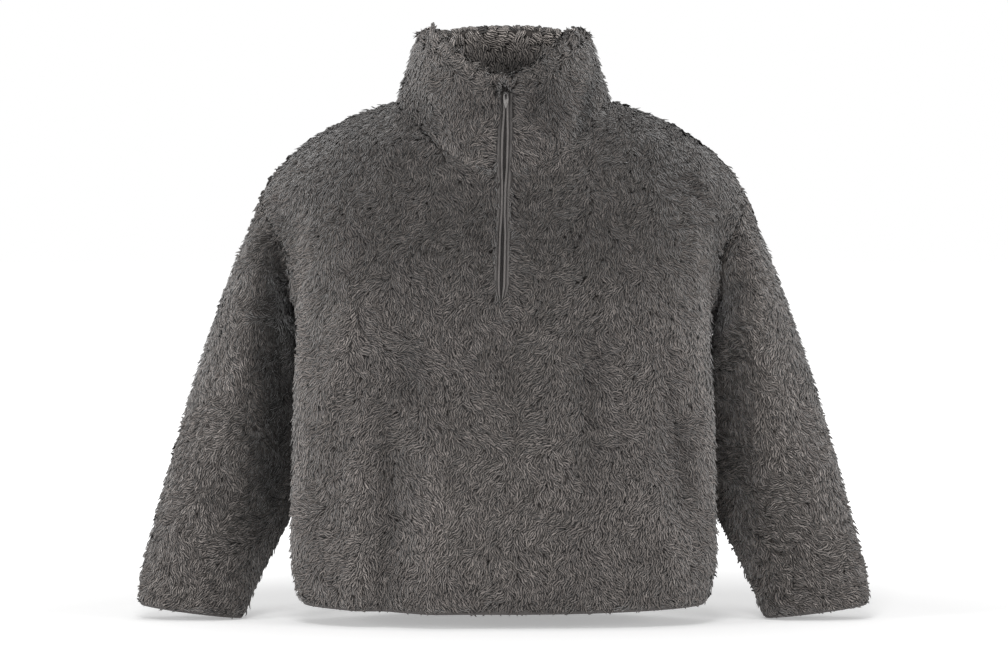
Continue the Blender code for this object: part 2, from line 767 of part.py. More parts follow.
def zip_path(front, collar):
    """Stations up the middle of the zip on the cloth's outer side: each its point and its normal."""
    middle = front.outer.shape[1] // 2
    line = [p for p in front.outer[:, middle] if p[2] > SLIT_END_Z - 0.02]
    line += [p for p in collar[1:, 0] if p[2] < ZIP_TOP_Z + 0.03]
    known_z = [p[2] for p in line]
    known_y = [p[1] for p in line]
    levels = np.linspace(SLIT_END_Z + SEAM, ZIP_TOP_Z, ZIP_STATIONS)
    stations = []
    for z in levels:
        y = np.interp(z, known_z, known_y)
        lean = (np.interp(z + 0.01, known_z, known_y) - np.interp(z - 0.01, known_z, known_y)) / 0.02
        normal = Vector((0.0, -1.0, lean)).normalized()
        stations.append((Vector((zip_middle(z), y, z)), normal))
    return stations


def make_tape(name, path, side, material):
    """One tape of the zip: a flat strip with a thicker edge beside the gap."""
    sections = []
    for point, normal in path:
        near = read(GAPS, "z", "half", point.z)
        far = slit_half(point.z) - SEAM
        outline = (
            (far, -TAPE_THICK), (near + 0.0003, -TAPE_THICK), (near, -0.0006),
            (near + 0.0004, 0.0), (near + 0.0014, 0.0), (near + 0.0019, -0.0004), (far, -0.0004),
        )
        sections.append([
            point + Vector((side * across, 0.0, 0.0)) + normal * (depth - ZIP_RECESS)
            for across, depth in outline
        ])
    loft(name, sections, material)


def make_coil(path, material):
    """The closed coil behind the tapes, as one strip with rounded edges."""
    sections = []
    back = -ZIP_RECESS - TAPE_THICK - SEAM
    for point, normal in path[:-1]:
        sections.append([
            point + Vector((across, 0.0, 0.0)) + normal * (back - depth)
            for across, depth in (
                (-COIL_HALF, 0.0006), (-COIL_HALF * 0.6, 0.0), (COIL_HALF * 0.6, 0.0),
                (COIL_HALF, 0.0006), (COIL_HALF * 0.6, COIL_THICK), (-COIL_HALF * 0.6, COIL_THICK),
            )
        ])
    loft("zip_coil", sections, material)


def make_slider(hinge, normal, material):
    """The slider: a plate on the tapes, and an arch through which the pull hangs."""
    along = Vector((0.0, -normal.z, normal.y)) * -1
    face = HINGE_OUT - PLATE_CLEAR - PLATE_THICK
    sections = []
    for depth in (face, face + PLATE_THICK):
        middle = hinge - normal * depth
        sections.append([
            middle + Vector((x, 0.0, 0.0)) + along * up
            for x, up in (
                (-0.5 * SLIDER_HALF, SLIDER_TOP), (-SLIDER_HALF, 0.4 * SLIDER_TOP),
                (-0.8 * SLIDER_HALF, SLIDER_BOTTOM), (0.8 * SLIDER_HALF, SLIDER_BOTTOM),
                (SLIDER_HALF, 0.4 * SLIDER_TOP), (0.5 * SLIDER_HALF, SLIDER_TOP),
            )
        ])
    plate = loft("zip_slider", sections, material)
    turns = [math.radians(a) for a in (90, 60, 30, 0, -30, -60, -90)]
    line = [(math.cos(a), math.sin(a)) for a in turns]
    sections = []
    foot = face + 0.5 * PLATE_THICK
    for out, up in [(None, 1.0)] + line + [(None, -1.0)]:
        section = []
        for radius, x in (
            (ARCH_INNER, -ARCH_HALF), (ARCH_OUTER, -ARCH_HALF),
            (ARCH_OUTER, ARCH_HALF), (ARCH_INNER, ARCH_HALF),
        ):
            outwards = -foot if out is None else out * radius
            section.append(hinge + Vector((x, 0.0, 0.0)) + normal * outwards + along * up * radius)
        sections.append(section)
    arch = loft("slider_arch", sections, material)
    cutters = bpy.data.collections.new("cutters")
    bpy.context.scene.collection.children.link(cutters)
    bpy.data.collections["fleece_pullover"].objects.unlink(arch)
    cutters.objects.link(arch)
    arch.hide_render = True
    arch.display_type = "WIRE"
    union = plate.modifiers.new("arch", "BOOLEAN")
    union.operation = "UNION"
    union.solver = "EXACT"
    union.object = arch


def drop_outline(half, top, end, blunt):
    """A drop-shaped outline in X and Z, wide near its top. blunt below 1 squares off its ends."""
    points = []
    for i in range(PULL_POINTS):
        turn = 2 * math.pi * i / PULL_POINTS
        across = math.copysign(abs(math.sin(turn)) ** blunt, math.sin(turn))
        taper = 1.15 * max(abs(math.sin(turn / 2)), 0.2) ** 0.8
        level = (top + end) / 2 - (top - end) / 2 * math.cos(turn)
        points.append((half * across * taper, level))
    return points


def make_pull(hinge, material):
    """The pull: a drop-shaped ring that hangs from the arch. Its origin lies on the hinge."""
    outside = drop_outline(PULL_HALF, PULL_TOP, -PULL_END, 1.0)
    inside = drop_outline(PULL_HOLE_HALF, PULL_HOLE_TOP, -PULL_HOLE_END, 0.4)
    thick = PULL_HALF_THICK
    loops = [
        [(x, y, z) for x, z in outline]
        for outline, y in ((outside, -thick), (outside, thick), (inside, thick), (inside, -thick))
    ]
    sections = [[loop[i] for loop in loops] for i in range(PULL_POINTS)]
    pull = loft("zip_pull", sections, material, closed=True)
    pull.location = hinge


def make_zip(path):
    """The zip: two tapes, the coil behind them, the slider and its pull."""
    tape = finish_material("zip_tape", (0.085, 0.078, 0.076), 0.6)
    metal = finish_material("zip_metal", (0.05, 0.048, 0.047), 0.4, 0.6)
    make_tape("zip_tape_right", path, 1, tape)
    make_tape("zip_tape_left", path, -1, tape)
    make_coil(path, tape)
    above = next(i for i, station in enumerate(path) if station[0].z >= HINGE_Z)
    (low, _), (high, normal) = path[above - 1], path[above]
    point = low.lerp(high, (HINGE_Z - low.z) / (high.z - low.z))
    hinge = point + normal * (HINGE_OUT - ZIP_RECESS)
    make_slider(hinge, normal, metal)
    make_pull(hinge, metal)


def main():
    """Builds every piece of the garment."""
    for old in list(bpy.data.objects):
        bpy.data.objects.remove(old)
    collection = bpy.data.collections.new("fleece_pullover")
    bpy.context.scene.collection.children.link(collection)
    fleece = finish_material("fleece", (0.10, 0.091, 0.088), 0.95)
    binding = finish_material("binding", (0.075, 0.068, 0.067), 0.7)

    front, back = make_panels()
    for side, name in ((1, "right"), (-1, "left")):
        end = make_sleeve("sleeve_" + name, front, back, side, fleece)
        make_cuff_binding("cuff_binding_" + name, *end, binding)
    collar = make_collar(front, back, fleece)
    make_zip(zip_path(front, collar))
    open_side_seams(front, back)
    make_front(front, fleece)
    move_top(back, BACK)
    wall_mesh("back", back.outer, back.inner, fleece)
    make_hem_binding(front, back, binding)


main()
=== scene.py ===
"""Half-zip fleece pullover, filled out with no wearer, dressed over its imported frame."""

import logging
import math
from dataclasses import dataclass, field
from enum import Enum
from typing import Callable, Optional, Sequence

import bmesh
import bpy
import numpy as np
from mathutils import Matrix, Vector
from mathutils.bvhtree import BVHTree
from mathutils.kdtree import KDTree


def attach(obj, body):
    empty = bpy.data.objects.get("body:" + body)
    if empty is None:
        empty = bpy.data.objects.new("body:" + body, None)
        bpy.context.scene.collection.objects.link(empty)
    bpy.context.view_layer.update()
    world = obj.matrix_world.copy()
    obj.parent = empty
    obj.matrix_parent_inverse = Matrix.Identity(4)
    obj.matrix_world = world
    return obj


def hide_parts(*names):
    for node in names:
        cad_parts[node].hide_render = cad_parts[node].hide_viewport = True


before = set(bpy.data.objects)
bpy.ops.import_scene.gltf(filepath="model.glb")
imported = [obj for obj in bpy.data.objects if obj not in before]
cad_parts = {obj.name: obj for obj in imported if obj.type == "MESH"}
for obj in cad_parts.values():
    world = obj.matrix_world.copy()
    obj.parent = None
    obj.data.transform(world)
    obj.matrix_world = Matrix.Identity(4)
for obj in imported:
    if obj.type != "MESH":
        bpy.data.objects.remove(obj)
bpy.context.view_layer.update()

log = logging.getLogger("pullover")

Array = np.ndarray
Point = tuple[float, float, float]


class Body(Enum):
    """The body that the dressed pieces ride on."""

    GARMENT = "garment"


class Slot(Enum):
    """The material slots of the record."""

    FLEECE = "fleece"
    BINDING = "binding"
    ZIP_TAPE = "zip_tape"


class Face(Enum):
    """The side of a wall of cloth that pile grows from."""

    OUTER = 1.0
    INNER = -1.0


FOLD_CONTRAST = 2.0  # how much stronger a fold's painted shade shows than it is set
# painted shade on the cut edges of the cloth, which lie in the shadow of the seams
CUT_EDGE_PAINTED_SHADE = 0.93
IN_FRONT = -0.3  # the y that rays to the front start at
BACKWARD = Vector((0.0, 1.0, 0.0))
JOIN_GAP = 0.00002
CREASE_ANGLE = 1.1
CREASE = 0.85


# Small tools


def smooth_step(value: Array, low: float, high: float) -> Array:
    """Returns 0 below low, 1 above high, and an even curve between them."""
    t = np.clip((value - low) / (high - low), 0.0, 1.0)
    return t * t * (3.0 - 2.0 * t)


def rows_dot(a: Array, b: Array) -> Array:
    """Returns the dot product of each row of a with the same row of b."""
    return np.einsum("ij,ij->i", a, b)


def unit(vectors: Array) -> Array:
    """Returns the rows of vectors at length 1."""
    return vectors / np.maximum(np.linalg.norm(vectors, axis=-1, keepdims=True), 1e-9)


class SoftNoise:
    """A smooth seeded field of numbers from -1 to 1 in space."""

    def __init__(self, seed: int, size: float) -> None:
        """Makes the field.

        Args:
            seed: seed of its random lattice.
            size: distance between its lattice points, in metres.
        """
        self.size = size
        self.lattice = np.random.default_rng(seed).uniform(-1.0, 1.0, (24, 24, 24))

    def __call__(self, points: Array) -> Array:
        """Reads the field.

        Args:
            points: N x 3 array of places in metres.

        Returns:
            One number for each point.
        """
        scaled = points / self.size + 7.3
        low = np.floor(scaled).astype(int)
        t = scaled - low
        t = t * t * (3.0 - 2.0 * t)
        total = np.zeros(len(points))
        for corner in range(8):
            step = np.array([corner & 1, corner >> 1 & 1, corner >> 2 & 1])
            share = np.prod(np.where(step, t, 1.0 - t), axis=1)
            cell = (low + step) % 24
            total += share * self.lattice[cell[:, 0], cell[:, 1], cell[:, 2]]
        return total


def solids_of(name: str) -> list[bpy.types.Object]:
    """Returns the frame's solids of a CAD node."""
    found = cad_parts[name]
    return list(found) if isinstance(found, (list, tuple)) else [found]


def node_geometry(name: str) -> bpy.types.Mesh:
    """Copies a CAD node's mesh with its split corners joined and its faces paired into quads.

    Args:
        name: the node's name.

    Returns:
        A new mesh in the frame's coordinates.
    """
    work = bmesh.new()
    for node in solids_of(name):
        spare = node.data.copy()
        spare.transform(node.matrix_world)
        work.from_mesh(spare)
        bpy.data.meshes.remove(spare)
    bmesh.ops.remove_doubles(work, verts=work.verts, dist=JOIN_GAP)
    bmesh.ops.join_triangles(
        work, faces=work.faces, angle_face_threshold=0.6, angle_shape_threshold=0.9
    )
    bmesh.ops.recalc_face_normals(work, faces=work.faces)
    crease = work.edges.layers.float.new("crease_edge")
    for edge in work.edges:
        if len(edge.link_faces) == 2 and edge.calc_face_angle(0.0) > CREASE_ANGLE:
            edge[crease] = CREASE
    mesh = bpy.data.meshes.new(name + "_copy")
    work.to_mesh(mesh)
    work.free()
    return mesh


def surface_of(mesh: bpy.types.Mesh) -> BVHTree:
    """Returns a mesh's faces as a tree to find the nearest place or a ray's end on."""
    return BVHTree.FromPolygons(
        [v.co.copy() for v in mesh.vertices], [tuple(f.vertices) for f in mesh.polygons]
    )


def new_piece(name: str, mesh: bpy.types.Mesh, material: bpy.types.Material) -> bpy.types.Object:
    """Links a mesh to the scene as a smooth piece with one material.

    Args:
        name: the piece's name.
        mesh: its mesh.
        material: its only material.

    Returns:
        The new object.
    """
    mesh.materials.clear()
    mesh.materials.append(material)
    mesh.shade_smooth()
    piece = bpy.data.objects.new(name, mesh)
    bpy.context.scene.collection.objects.link(piece)
    return piece


def subdivide(piece: bpy.types.Object) -> None:
    """Rounds a piece's mesh by one step of subdivision.

    Args:
        piece: the piece, whose creased edges stay sharp.
    """
    smooth = piece.modifiers.new("smooth", "SUBSURF")
    smooth.levels = smooth.render_levels = 1
    graph = bpy.context.evaluated_depsgraph_get()
    done = bpy.data.meshes.new_from_object(piece.evaluated_get(graph))
    piece.modifiers.clear()
    piece.data = done
    done.shade_smooth()


def declare(piece: bpy.types.Object, node: Optional[str] = None) -> None:
    """Says what a piece belongs to.

    Args:
        piece: the piece, which rides on the garment.
        node: the CAD node that it stands in for, if any.
    """
    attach(piece, Body.GARMENT.value)
    if node is not None:
        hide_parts(node)


def coordinates(mesh: bpy.types.Mesh) -> Array:
    """Returns a mesh's vertices as an N x 3 array."""
    flat = np.empty(len(mesh.vertices) * 3)
    mesh.vertices.foreach_get("co", flat)
    return flat.reshape(-1, 3)


def vertex_normals(mesh: bpy.types.Mesh) -> Array:
    """Returns a mesh's vertex normals as an N x 3 array."""
    flat = np.empty(len(mesh.vertices) * 3)
    mesh.vertex_normals.foreach_get("vector", flat)
    return flat.reshape(-1, 3)


def set_coordinates(mesh: bpy.types.Mesh, points: Array) -> None:
    """Moves a mesh's vertices to the rows of points."""
    mesh.vertices.foreach_set("co", points.astype(np.float32).ravel())
    mesh.update()


def paint_tone(mesh: bpy.types.Mesh, values: Array) -> None:
    """Gives a mesh's vertices their shade, where 1 is the plain colour."""
    tone = mesh.attributes.get("tone") or mesh.attributes.new("tone", "FLOAT", "POINT")
    tone.data.foreach_set("value", np.asarray(values, dtype=np.float32).ravel())


# Finishes


class Recipe:
    """Adds and joins the nodes of one material."""

    def __init__(self, name: str) -> None:
        """Starts a material with a Principled shader."""
        self.material = bpy.data.materials.new(name)
        self.material.use_nodes = True
        self.tree = self.material.node_tree
        self.shader = self.tree.nodes["Principled BSDF"]

    def add(self, kind: str, **sockets: object) -> bpy.types.Node:
        """Adds a node.

        Args:
            kind: the node's type.
            **sockets: values or sockets for its inputs, and its settings.

        Returns:
            The new node.
        """
        node = self.tree.nodes.new("ShaderNode" + kind)
        for key, value in sockets.items():
            if hasattr(node, key):
                setattr(node, key, value)
                continue
            label = key.replace("_", " ")
            target = node.inputs[int(key[1:])] if key[1:].isdigit() else node.inputs[label]
            self.feed(target, value)
        return node

    def feed(self, target: bpy.types.NodeSocket, value: object) -> None:
        """Gives an input a value, or joins it to another node's output."""
        if isinstance(value, bpy.types.NodeSocket):
            self.tree.links.new(value, target)
        else:
            target.default_value = value

    def set(self, **sockets: object) -> None:
        """Sets inputs of the shader."""
        for key, value in sockets.items():
            self.feed(self.shader.inputs[key.replace("_", " ")], value)

    def calc(self, operation: str, *values: object) -> bpy.types.NodeSocket:
        """Works out one step of arithmetic on numbers and sockets."""
        inputs = {f"i{k}": value for k, value in enumerate(values)}
        return self.add("Math", operation=operation, **inputs).outputs[0]

    def product(self, *values: object) -> bpy.types.NodeSocket:
        """Multiplies numbers and sockets in turn."""
        result = values[0]
        for value in values[1:]:
            result = self.calc("MULTIPLY", result, value)
        return result

    def span(
        self, value: object, low: float, high: float, out: tuple[float, float]
    ) -> bpy.types.NodeSocket:
        """Maps a socket's numbers from low..high to out."""
        node = self.add("MapRange", i0=value, i1=low, i2=high, i3=out[0], i4=out[1])
        return node.outputs[0]

    def tinted(self, colour: Sequence[float], amount: object) -> bpy.types.NodeSocket:
        """Returns colour times amount."""
        node = self.add("VectorMath", operation="SCALE", i0=colour)
        self.feed(node.inputs["Scale"], amount)
        return node.outputs[0]

    def tone(self) -> bpy.types.NodeSocket:
        """Returns the shade that is painted on the mesh."""
        return self.add("Attribute", attribute_name="tone").outputs["Fac"]

    def place(self) -> bpy.types.NodeSocket:
        """Returns the place on the piece, in metres."""
        return self.add("TexCoord").outputs["Object"]

    def stretched(self, place: object, scale: Point) -> bpy.types.NodeSocket:
        """Returns a place multiplied by scale."""
        return self.add("Mapping", Vector=place, Scale=scale).outputs[0]

    def noise(self, place: object, scale: float, detail: float) -> bpy.types.NodeSocket:
        """Returns a noise's number."""
        return self.add("TexNoise", Vector=place, Scale=scale, Detail=detail).outputs[0]

    def bump(self, height: object, distance: float) -> None:
        """Raises the surface by a height."""
        node = self.add("Bump", Height=height, Distance=distance, Strength=1.0)
        self.feed(self.shader.inputs["Normal"], node.outputs[0])


@dataclass(frozen=True)
class PileFinish:
    """Curled polyester locks, with painted shade at their roots and between their strands."""

    name: str
    colour: tuple[float, float, float]
    sheen: float = 0.3
    # painted shade between the strands: the share of the colour left there
    valley: float = 0.5
    # painted shadow, darker towards the bottom: the height where it is darkest, the height where it
    # ends, and its darkest share
    deep: Optional[tuple[float, float, float]] = None

    def material(self) -> bpy.types.Material:
        """Makes the material of the locks.

        Returns:
            The material, with painted shade between the strands of each lock.
        """
        r = Recipe(self.name)
        place = r.add("UVMap", uv_map="lock").outputs[0]
        wander = r.noise(r.stretched(place, (0.37, 2.6, 1.0)), 1.0, 1.0)
        across = r.calc(
            "ADD", r.add("SeparateXYZ", i0=place).outputs[0], r.span(wander, 0.2, 0.8, (-0.3, 0.3))
        )
        strand = r.calc("ABSOLUTE", r.calc("SINE", r.product(across, math.pi)))
        fibre = r.noise(r.stretched(place, (6.0, 1.4, 1.0)), 1.0, 4.0)
        shade = r.product(
            r.tone(),
            r.span(strand, 0.3, 0.95, (self.valley, 2.2)),
            r.span(fibre, 0.25, 0.75, (0.78, 1.22)),
        )
        # painted shadow, darker towards the bottom
        if self.deep is not None:
            low, high, darkest = self.deep
            height = r.add("SeparateXYZ", i0=r.place()).outputs[2]
            shade = r.product(shade, r.span(height, low, high, (darkest, 1.0)))
        r.set(
            Base_Color=r.tinted(self.colour, shade),
            Roughness=r.span(fibre, 0.2, 0.8, (0.75, 0.92)),
            Sheen_Weight=self.sheen,
            Sheen_Roughness=0.45,
            Specular_IOR_Level=0.2,
        )
        r.bump(r.calc("ADD", strand, r.product(fibre, 0.35)), 0.0016)
        return r.material


@dataclass(frozen=True)
class GroundFinish:
    """The knitted ground of the fleece with short curled fibres."""

    name: str
    colour: tuple[float, float, float]

    def material(self) -> bpy.types.Material:
        """Makes the material of the ground.

        Returns:
            The material, in soft patches of short fibres.
        """
        r = Recipe(self.name)
        bend = r.noise(r.place(), 60.0, 2.0)
        sway = r.tinted((0.012, 0.0, 0.0), bend)
        swayed = r.add(
            "VectorMath", operation="ADD", i0=r.stretched(r.place(), (1.0, 1.0, 0.3)), i1=sway
        ).outputs[0]
        fluff = r.noise(swayed, 380.0, 4.0)
        patch = r.noise(r.place(), 14.0, 3.0)
        shade = r.product(
            r.tone(), r.span(fluff, 0.36, 0.64, (0.4, 1.25)), r.span(patch, 0.3, 0.7, (0.92, 1.08))
        )
        r.set(
            Base_Color=r.tinted(self.colour, shade),
            Roughness=r.span(fluff, 0.3, 0.7, (0.85, 0.97)),
            Sheen_Weight=0.25,
            Sheen_Roughness=0.5,
            Specular_IOR_Level=0.15,
        )
        r.bump(fluff, 0.0015)
        return r.material


@dataclass(frozen=True)
class RibFinish:
    """Fine ribbed knit or woven tape."""

    name: str
    colour: tuple[float, float, float]
    pitch: float
    depth: float = 0.0002

    def material(self) -> bpy.types.Material:
        """Makes the material of the knit.

        Returns:
            The material, with ribs both ways and a little fuzz.
        """
        r = Recipe(self.name)
        place = r.place()
        turn = 2.0 * math.pi / (self.pitch * 20.0)
        weft, warp = (
            r.add(
                "TexWave", Vector=place, Scale=turn, Distortion=1.5, Detail=2.0, bands_direction=way
            ).outputs["Fac"]
            for way in ("X", "Z")
        )
        weave = r.calc("MAXIMUM", weft, warp)
        fuzz = r.noise(place, 900.0, 3.0)
        shade = r.product(
            r.tone(), r.span(weave, 0.0, 1.0, (0.78, 1.1)), r.span(fuzz, 0.3, 0.7, (0.88, 1.12))
        )
        r.set(
            Base_Color=r.tinted(self.colour, shade),
            Roughness=r.span(fuzz, 0.3, 0.7, (0.7, 0.85)),
            Sheen_Weight=0.2,
            Sheen_Roughness=0.4,
            Specular_IOR_Level=0.3,
        )
        r.bump(weave, self.depth)
        return r.material


@dataclass(frozen=True)
class MetalFinish:
    """Painted zinc with faint scuffs."""

    name: str
    colour: tuple[float, float, float]
    metallic: float = 0.7

    def material(self) -> bpy.types.Material:
        """Makes the material of the metal.

        Returns:
            The material, cloudy and finely specked.
        """
        r = Recipe(self.name)
        place = r.place()
        cloud = r.noise(place, 260.0, 3.0)
        r.set(
            Base_Color=r.tinted(self.colour, r.span(cloud, 0.3, 0.7, (0.8, 1.25))),
            Metallic=self.metallic,
            Roughness=r.span(cloud, 0.3, 0.7, (0.28, 0.48)),
        )
        r.bump(r.noise(place, 1400.0, 4.0), 0.00004)
        return r.material


@dataclass(frozen=True)
class FloorFinish:
    """A pale painted studio floor that fades into a lit backdrop further off."""

    name: str = "studio_floor"
    glow: float = 0.34
    far_glow: float = 1.0

    def material(self) -> bpy.types.Material:
        """Makes the material of the floor.

        Returns:
            The material, which glows a little more with the distance.
        """
        r = Recipe(self.name)
        grain = r.noise(r.place(), 3.0, 4.0)
        reach = r.add("VectorMath", operation="LENGTH", i0=r.stretched(r.place(), (0.8, 1.3, 0.0)))
        r.set(
            Base_Color=r.tinted((0.93, 0.93, 0.93), r.span(grain, 0.3, 0.7, (0.99, 1.01))),
            Roughness=0.9,
            Specular_IOR_Level=0.1,
            Emission_Color=(1.0, 1.0, 1.0, 1.0),
            Emission_Strength=r.span(reach.outputs["Value"], 0.45, 1.6, (self.glow, self.far_glow)),
        )
        return r.material


# Cloth


def along_line(
    places: Array, line: Sequence[Sequence[float]], reach: Sequence[float]
) -> tuple[Array, Array]:
    """Finds the nearest place on a line of straight stretches.

    Args:
        places: N x D array of places.
        line: the line's corners, with D numbers each.
        reach: how far the line's thickness reaches along each axis.

    Returns:
        N x D ways from the line to the places, and how far along the line each lies, from 0 to 1.
    """
    best = np.full(len(places), np.inf)
    way, share = np.zeros_like(places), np.zeros(len(places))
    ends = [np.array(p) for p in line]
    for i, (start, end) in enumerate(zip(ends[:-1], ends[1:])):
        run = end - start
        t = np.clip((places - start) @ run / (run @ run), 0.0, 1.0)
        gap = places - (start + t[:, None] * run)
        gap = np.sign(gap) * np.maximum(np.abs(gap) - np.array(reach), 0.0)
        far = np.linalg.norm(gap, axis=1)
        near = far < best
        best[near], way[near] = far[near], gap[near]
        share[near] = (i + t[near]) / (len(ends) - 1)
    return way, share


@dataclass
class Core:
    """A line through the hollow of a piece, which tells its outer side from its inner one."""

    points: tuple[Point, ...]
    reach: Point = (0.0, 0.0, 0.0)

    def away(self, places: Array) -> Array:
        """Finds the way out of the hollow.

        Args:
            places: N x 3 array of places.

        Returns:
            N x 3 array of unit vectors that lead from the core to the places.
        """
        return unit(along_line(places, self.points, self.reach)[0])


@dataclass(frozen=True)
class Fold:
    """A soft trough, or a ridge where its depth is below zero, along a line in the front view, with
    painted shade: painted shadow in a trough, a painted highlight on a ridge, and, where its depth
    is zero, only painted shade, or painted light where its shade is above 1.
    """

    line: tuple[tuple[float, float], ...]
    half_width: float
    depth: float
    shade: float = 1.0
    front: bool = True

    def weight_at(self, points: Array, out: Array) -> Array:
        """Gives how strongly the fold shows at each point.

        Args:
            points: N x 3 array of the cloth's points.
            out: N x 3 array of the ways out of the hollow.

        Returns:
            One number from 0 to 1 for each point.
        """
        way, along = along_line(points[:, [0, 2]], self.line, (0.0, 0.0))
        best = np.linalg.norm(way, axis=1)
        across = np.exp(-((best / self.half_width) ** 2) * 1.2)
        taper = 0.4 + 0.6 * np.sin(math.pi * np.clip(along, 0.0, 1.0)) ** 0.5
        facing = -out[:, 1] if self.front else out[:, 1]
        return across * taper * smooth_step(facing, -0.25, 0.3)

    @property
    def way(self) -> Array:
        """Returns the way that the fold's depth is pressed: straight back, or straight forward."""
        return np.array([0.0, 1.0 if self.front else -1.0, 0.0])


@dataclass
class FleeceShell:
    """A thin wall of fleece ground on the form of its solid.

    The wall is inset on the sides that pile grows from, and its cut edges, which have more than
    deep walls of cloth behind them, reach into the seams.
    """

    node: str
    core: Core
    finish: GroundFinish
    flat: tuple[float, float]
    area: float
    rests_on: tuple[str, ...]
    wall: float = 0.007
    inset: float = 0.0034
    reach: float = 0.002
    deep: float = 1.6
    both_sides: bool = False
    settle: Optional[Callable[[Array], Array]] = None
    folds: tuple[Fold, ...] = ()
    piece: Optional[bpy.types.Object] = None
    trim: list[str] = field(default_factory=list)

    def build(self) -> "FleeceShell":
        """Returns:
            This shell.
        """
        mesh = node_geometry(self.node)
        self.mark_cut_edges(mesh)
        points = coordinates(mesh)
        normals = vertex_normals(mesh)
        facing = rows_dot(normals, self.core.away(points))
        share = smooth_step(facing, 0.1, 0.6)
        if self.both_sides:
            up = normals[:, 2]
            share = share + smooth_step(-facing, 0.1, 0.6) + smooth_step(up, 0.2, 0.6)
            share = np.clip(share, 0.0, 1.0) * (1.0 - 0.6 * smooth_step(up, 0.2, 0.7))
        moved = points - normals * (self.inset * share)[:, None]
        if self.settle is not None:
            moved = moved + self.settle(points)
        set_coordinates(mesh, moved + self.into_seams(mesh) * self.reach)
        self.piece = new_piece(self.node + "_cloth", mesh, self.finish.material())
        subdivide(self.piece)
        self.press()
        declare(self.piece, self.node)
        return self

    def mark_cut_edges(self, mesh: bpy.types.Mesh) -> None:
        """Gives the faces of the cut edges material index 1: the wall is deep behind them.

        Args:
            mesh: the shell's mesh.
        """
        tree = surface_of(mesh)
        for polygon in mesh.polygons:
            start = polygon.center - polygon.normal * 0.0001
            depth = tree.ray_cast(start, -polygon.normal, 0.2)[3]
            rim = self.both_sides and polygon.normal.z > 0.25
            cut = depth is None or depth > self.wall * self.deep
            polygon.material_index = int(cut and not rim)

    def into_seams(self, mesh: bpy.types.Mesh) -> Array:
        """Finds the way from the cut edges of the cloth into the seams and bindings beside them.

        Args:
            mesh: the shell's mesh.

        Returns:
            One vector for each vertex, zero away from the cut edges.
        """
        way = np.zeros((len(mesh.vertices), 3))
        for polygon in mesh.polygons:
            if polygon.material_index:
                way[list(polygon.vertices)] += np.array(polygon.normal)
        long = np.linalg.norm(way, axis=1)
        way[long > 0.0] = unit(way[long > 0.0])
        return way

    def press(self) -> None:
        """Presses the folds into both sides of the wall, and paints their shade, with painted shade
        on the cut edges as well.
        """
        mesh = self.piece.data
        points = coordinates(mesh)
        out = self.core.away(points)
        moved = points.copy()
        for fold in self.folds:
            moved += fold.way * (fold.depth * fold.weight_at(points, out))[:, None]
        tone = self.painted_shade_at(points)
        for polygon in mesh.polygons:
            if polygon.material_index:
                tone[list(polygon.vertices)] *= CUT_EDGE_PAINTED_SHADE
        paint_tone(mesh, tone)
        set_coordinates(mesh, moved)

    def painted_shade_at(self, points: Array) -> Array:
        """Gives the folds' painted shade on the fleece: painted shadow in a trough, where less
        light reaches the pile, and painted light on a ridge.

        Args:
            points: N x 3 array of places on the shell.

        Returns:
            One number for each place, 1 where no fold lies.
        """
        out = self.core.away(points)
        shade = np.ones(len(points))
        for fold in self.folds:
            shade *= 1.0 + (fold.shade - 1.0) * fold.weight_at(points, out)
        return shade**FOLD_CONTRAST

    def declare(self) -> None:
        faces = self.piece.data.polygons
        faces.foreach_set("material_index", np.zeros(len(faces), np.int32))
        log.info("%s: %d faces", self.piece.name, len(faces))


@dataclass
class Combing:
    """The way the pile lies on a piece: a main direction that swirls in soft patches.

    The swirls and the ripples in them are given by their turn in radians and their size in metres.
    """

    lay: Callable[[Array, Array], Array]
    seed: int
    swirl: float = 1.125
    ripple: float = 1.2
    swirl_size: float = 0.045
    ripple_size: float = 0.012

    def __post_init__(self) -> None:
        """Makes the soft noise of the swirls and of the ripples."""
        self.wide = SoftNoise(self.seed, self.swirl_size)
        self.fine = SoftNoise(self.seed + 1, self.ripple_size)

    def directions(self, points: Array, normals: Array) -> Array:
        """Gives the lay of the pile at each point.

        Args:
            points: N x 3 array of roots.
            normals: N x 3 array of the cloth's normals there.

        Returns:
            N x 3 array of unit tangents.
        """
        lay = self.lay(points, normals)
        lay = unit(lay - normals * rows_dot(lay, normals)[:, None])
        side = np.cross(normals, lay)
        turn = self.swirl * self.wide(points) + self.ripple * self.fine(points)
        return lay * np.cos(turn)[:, None] + side * np.sin(turn)[:, None]


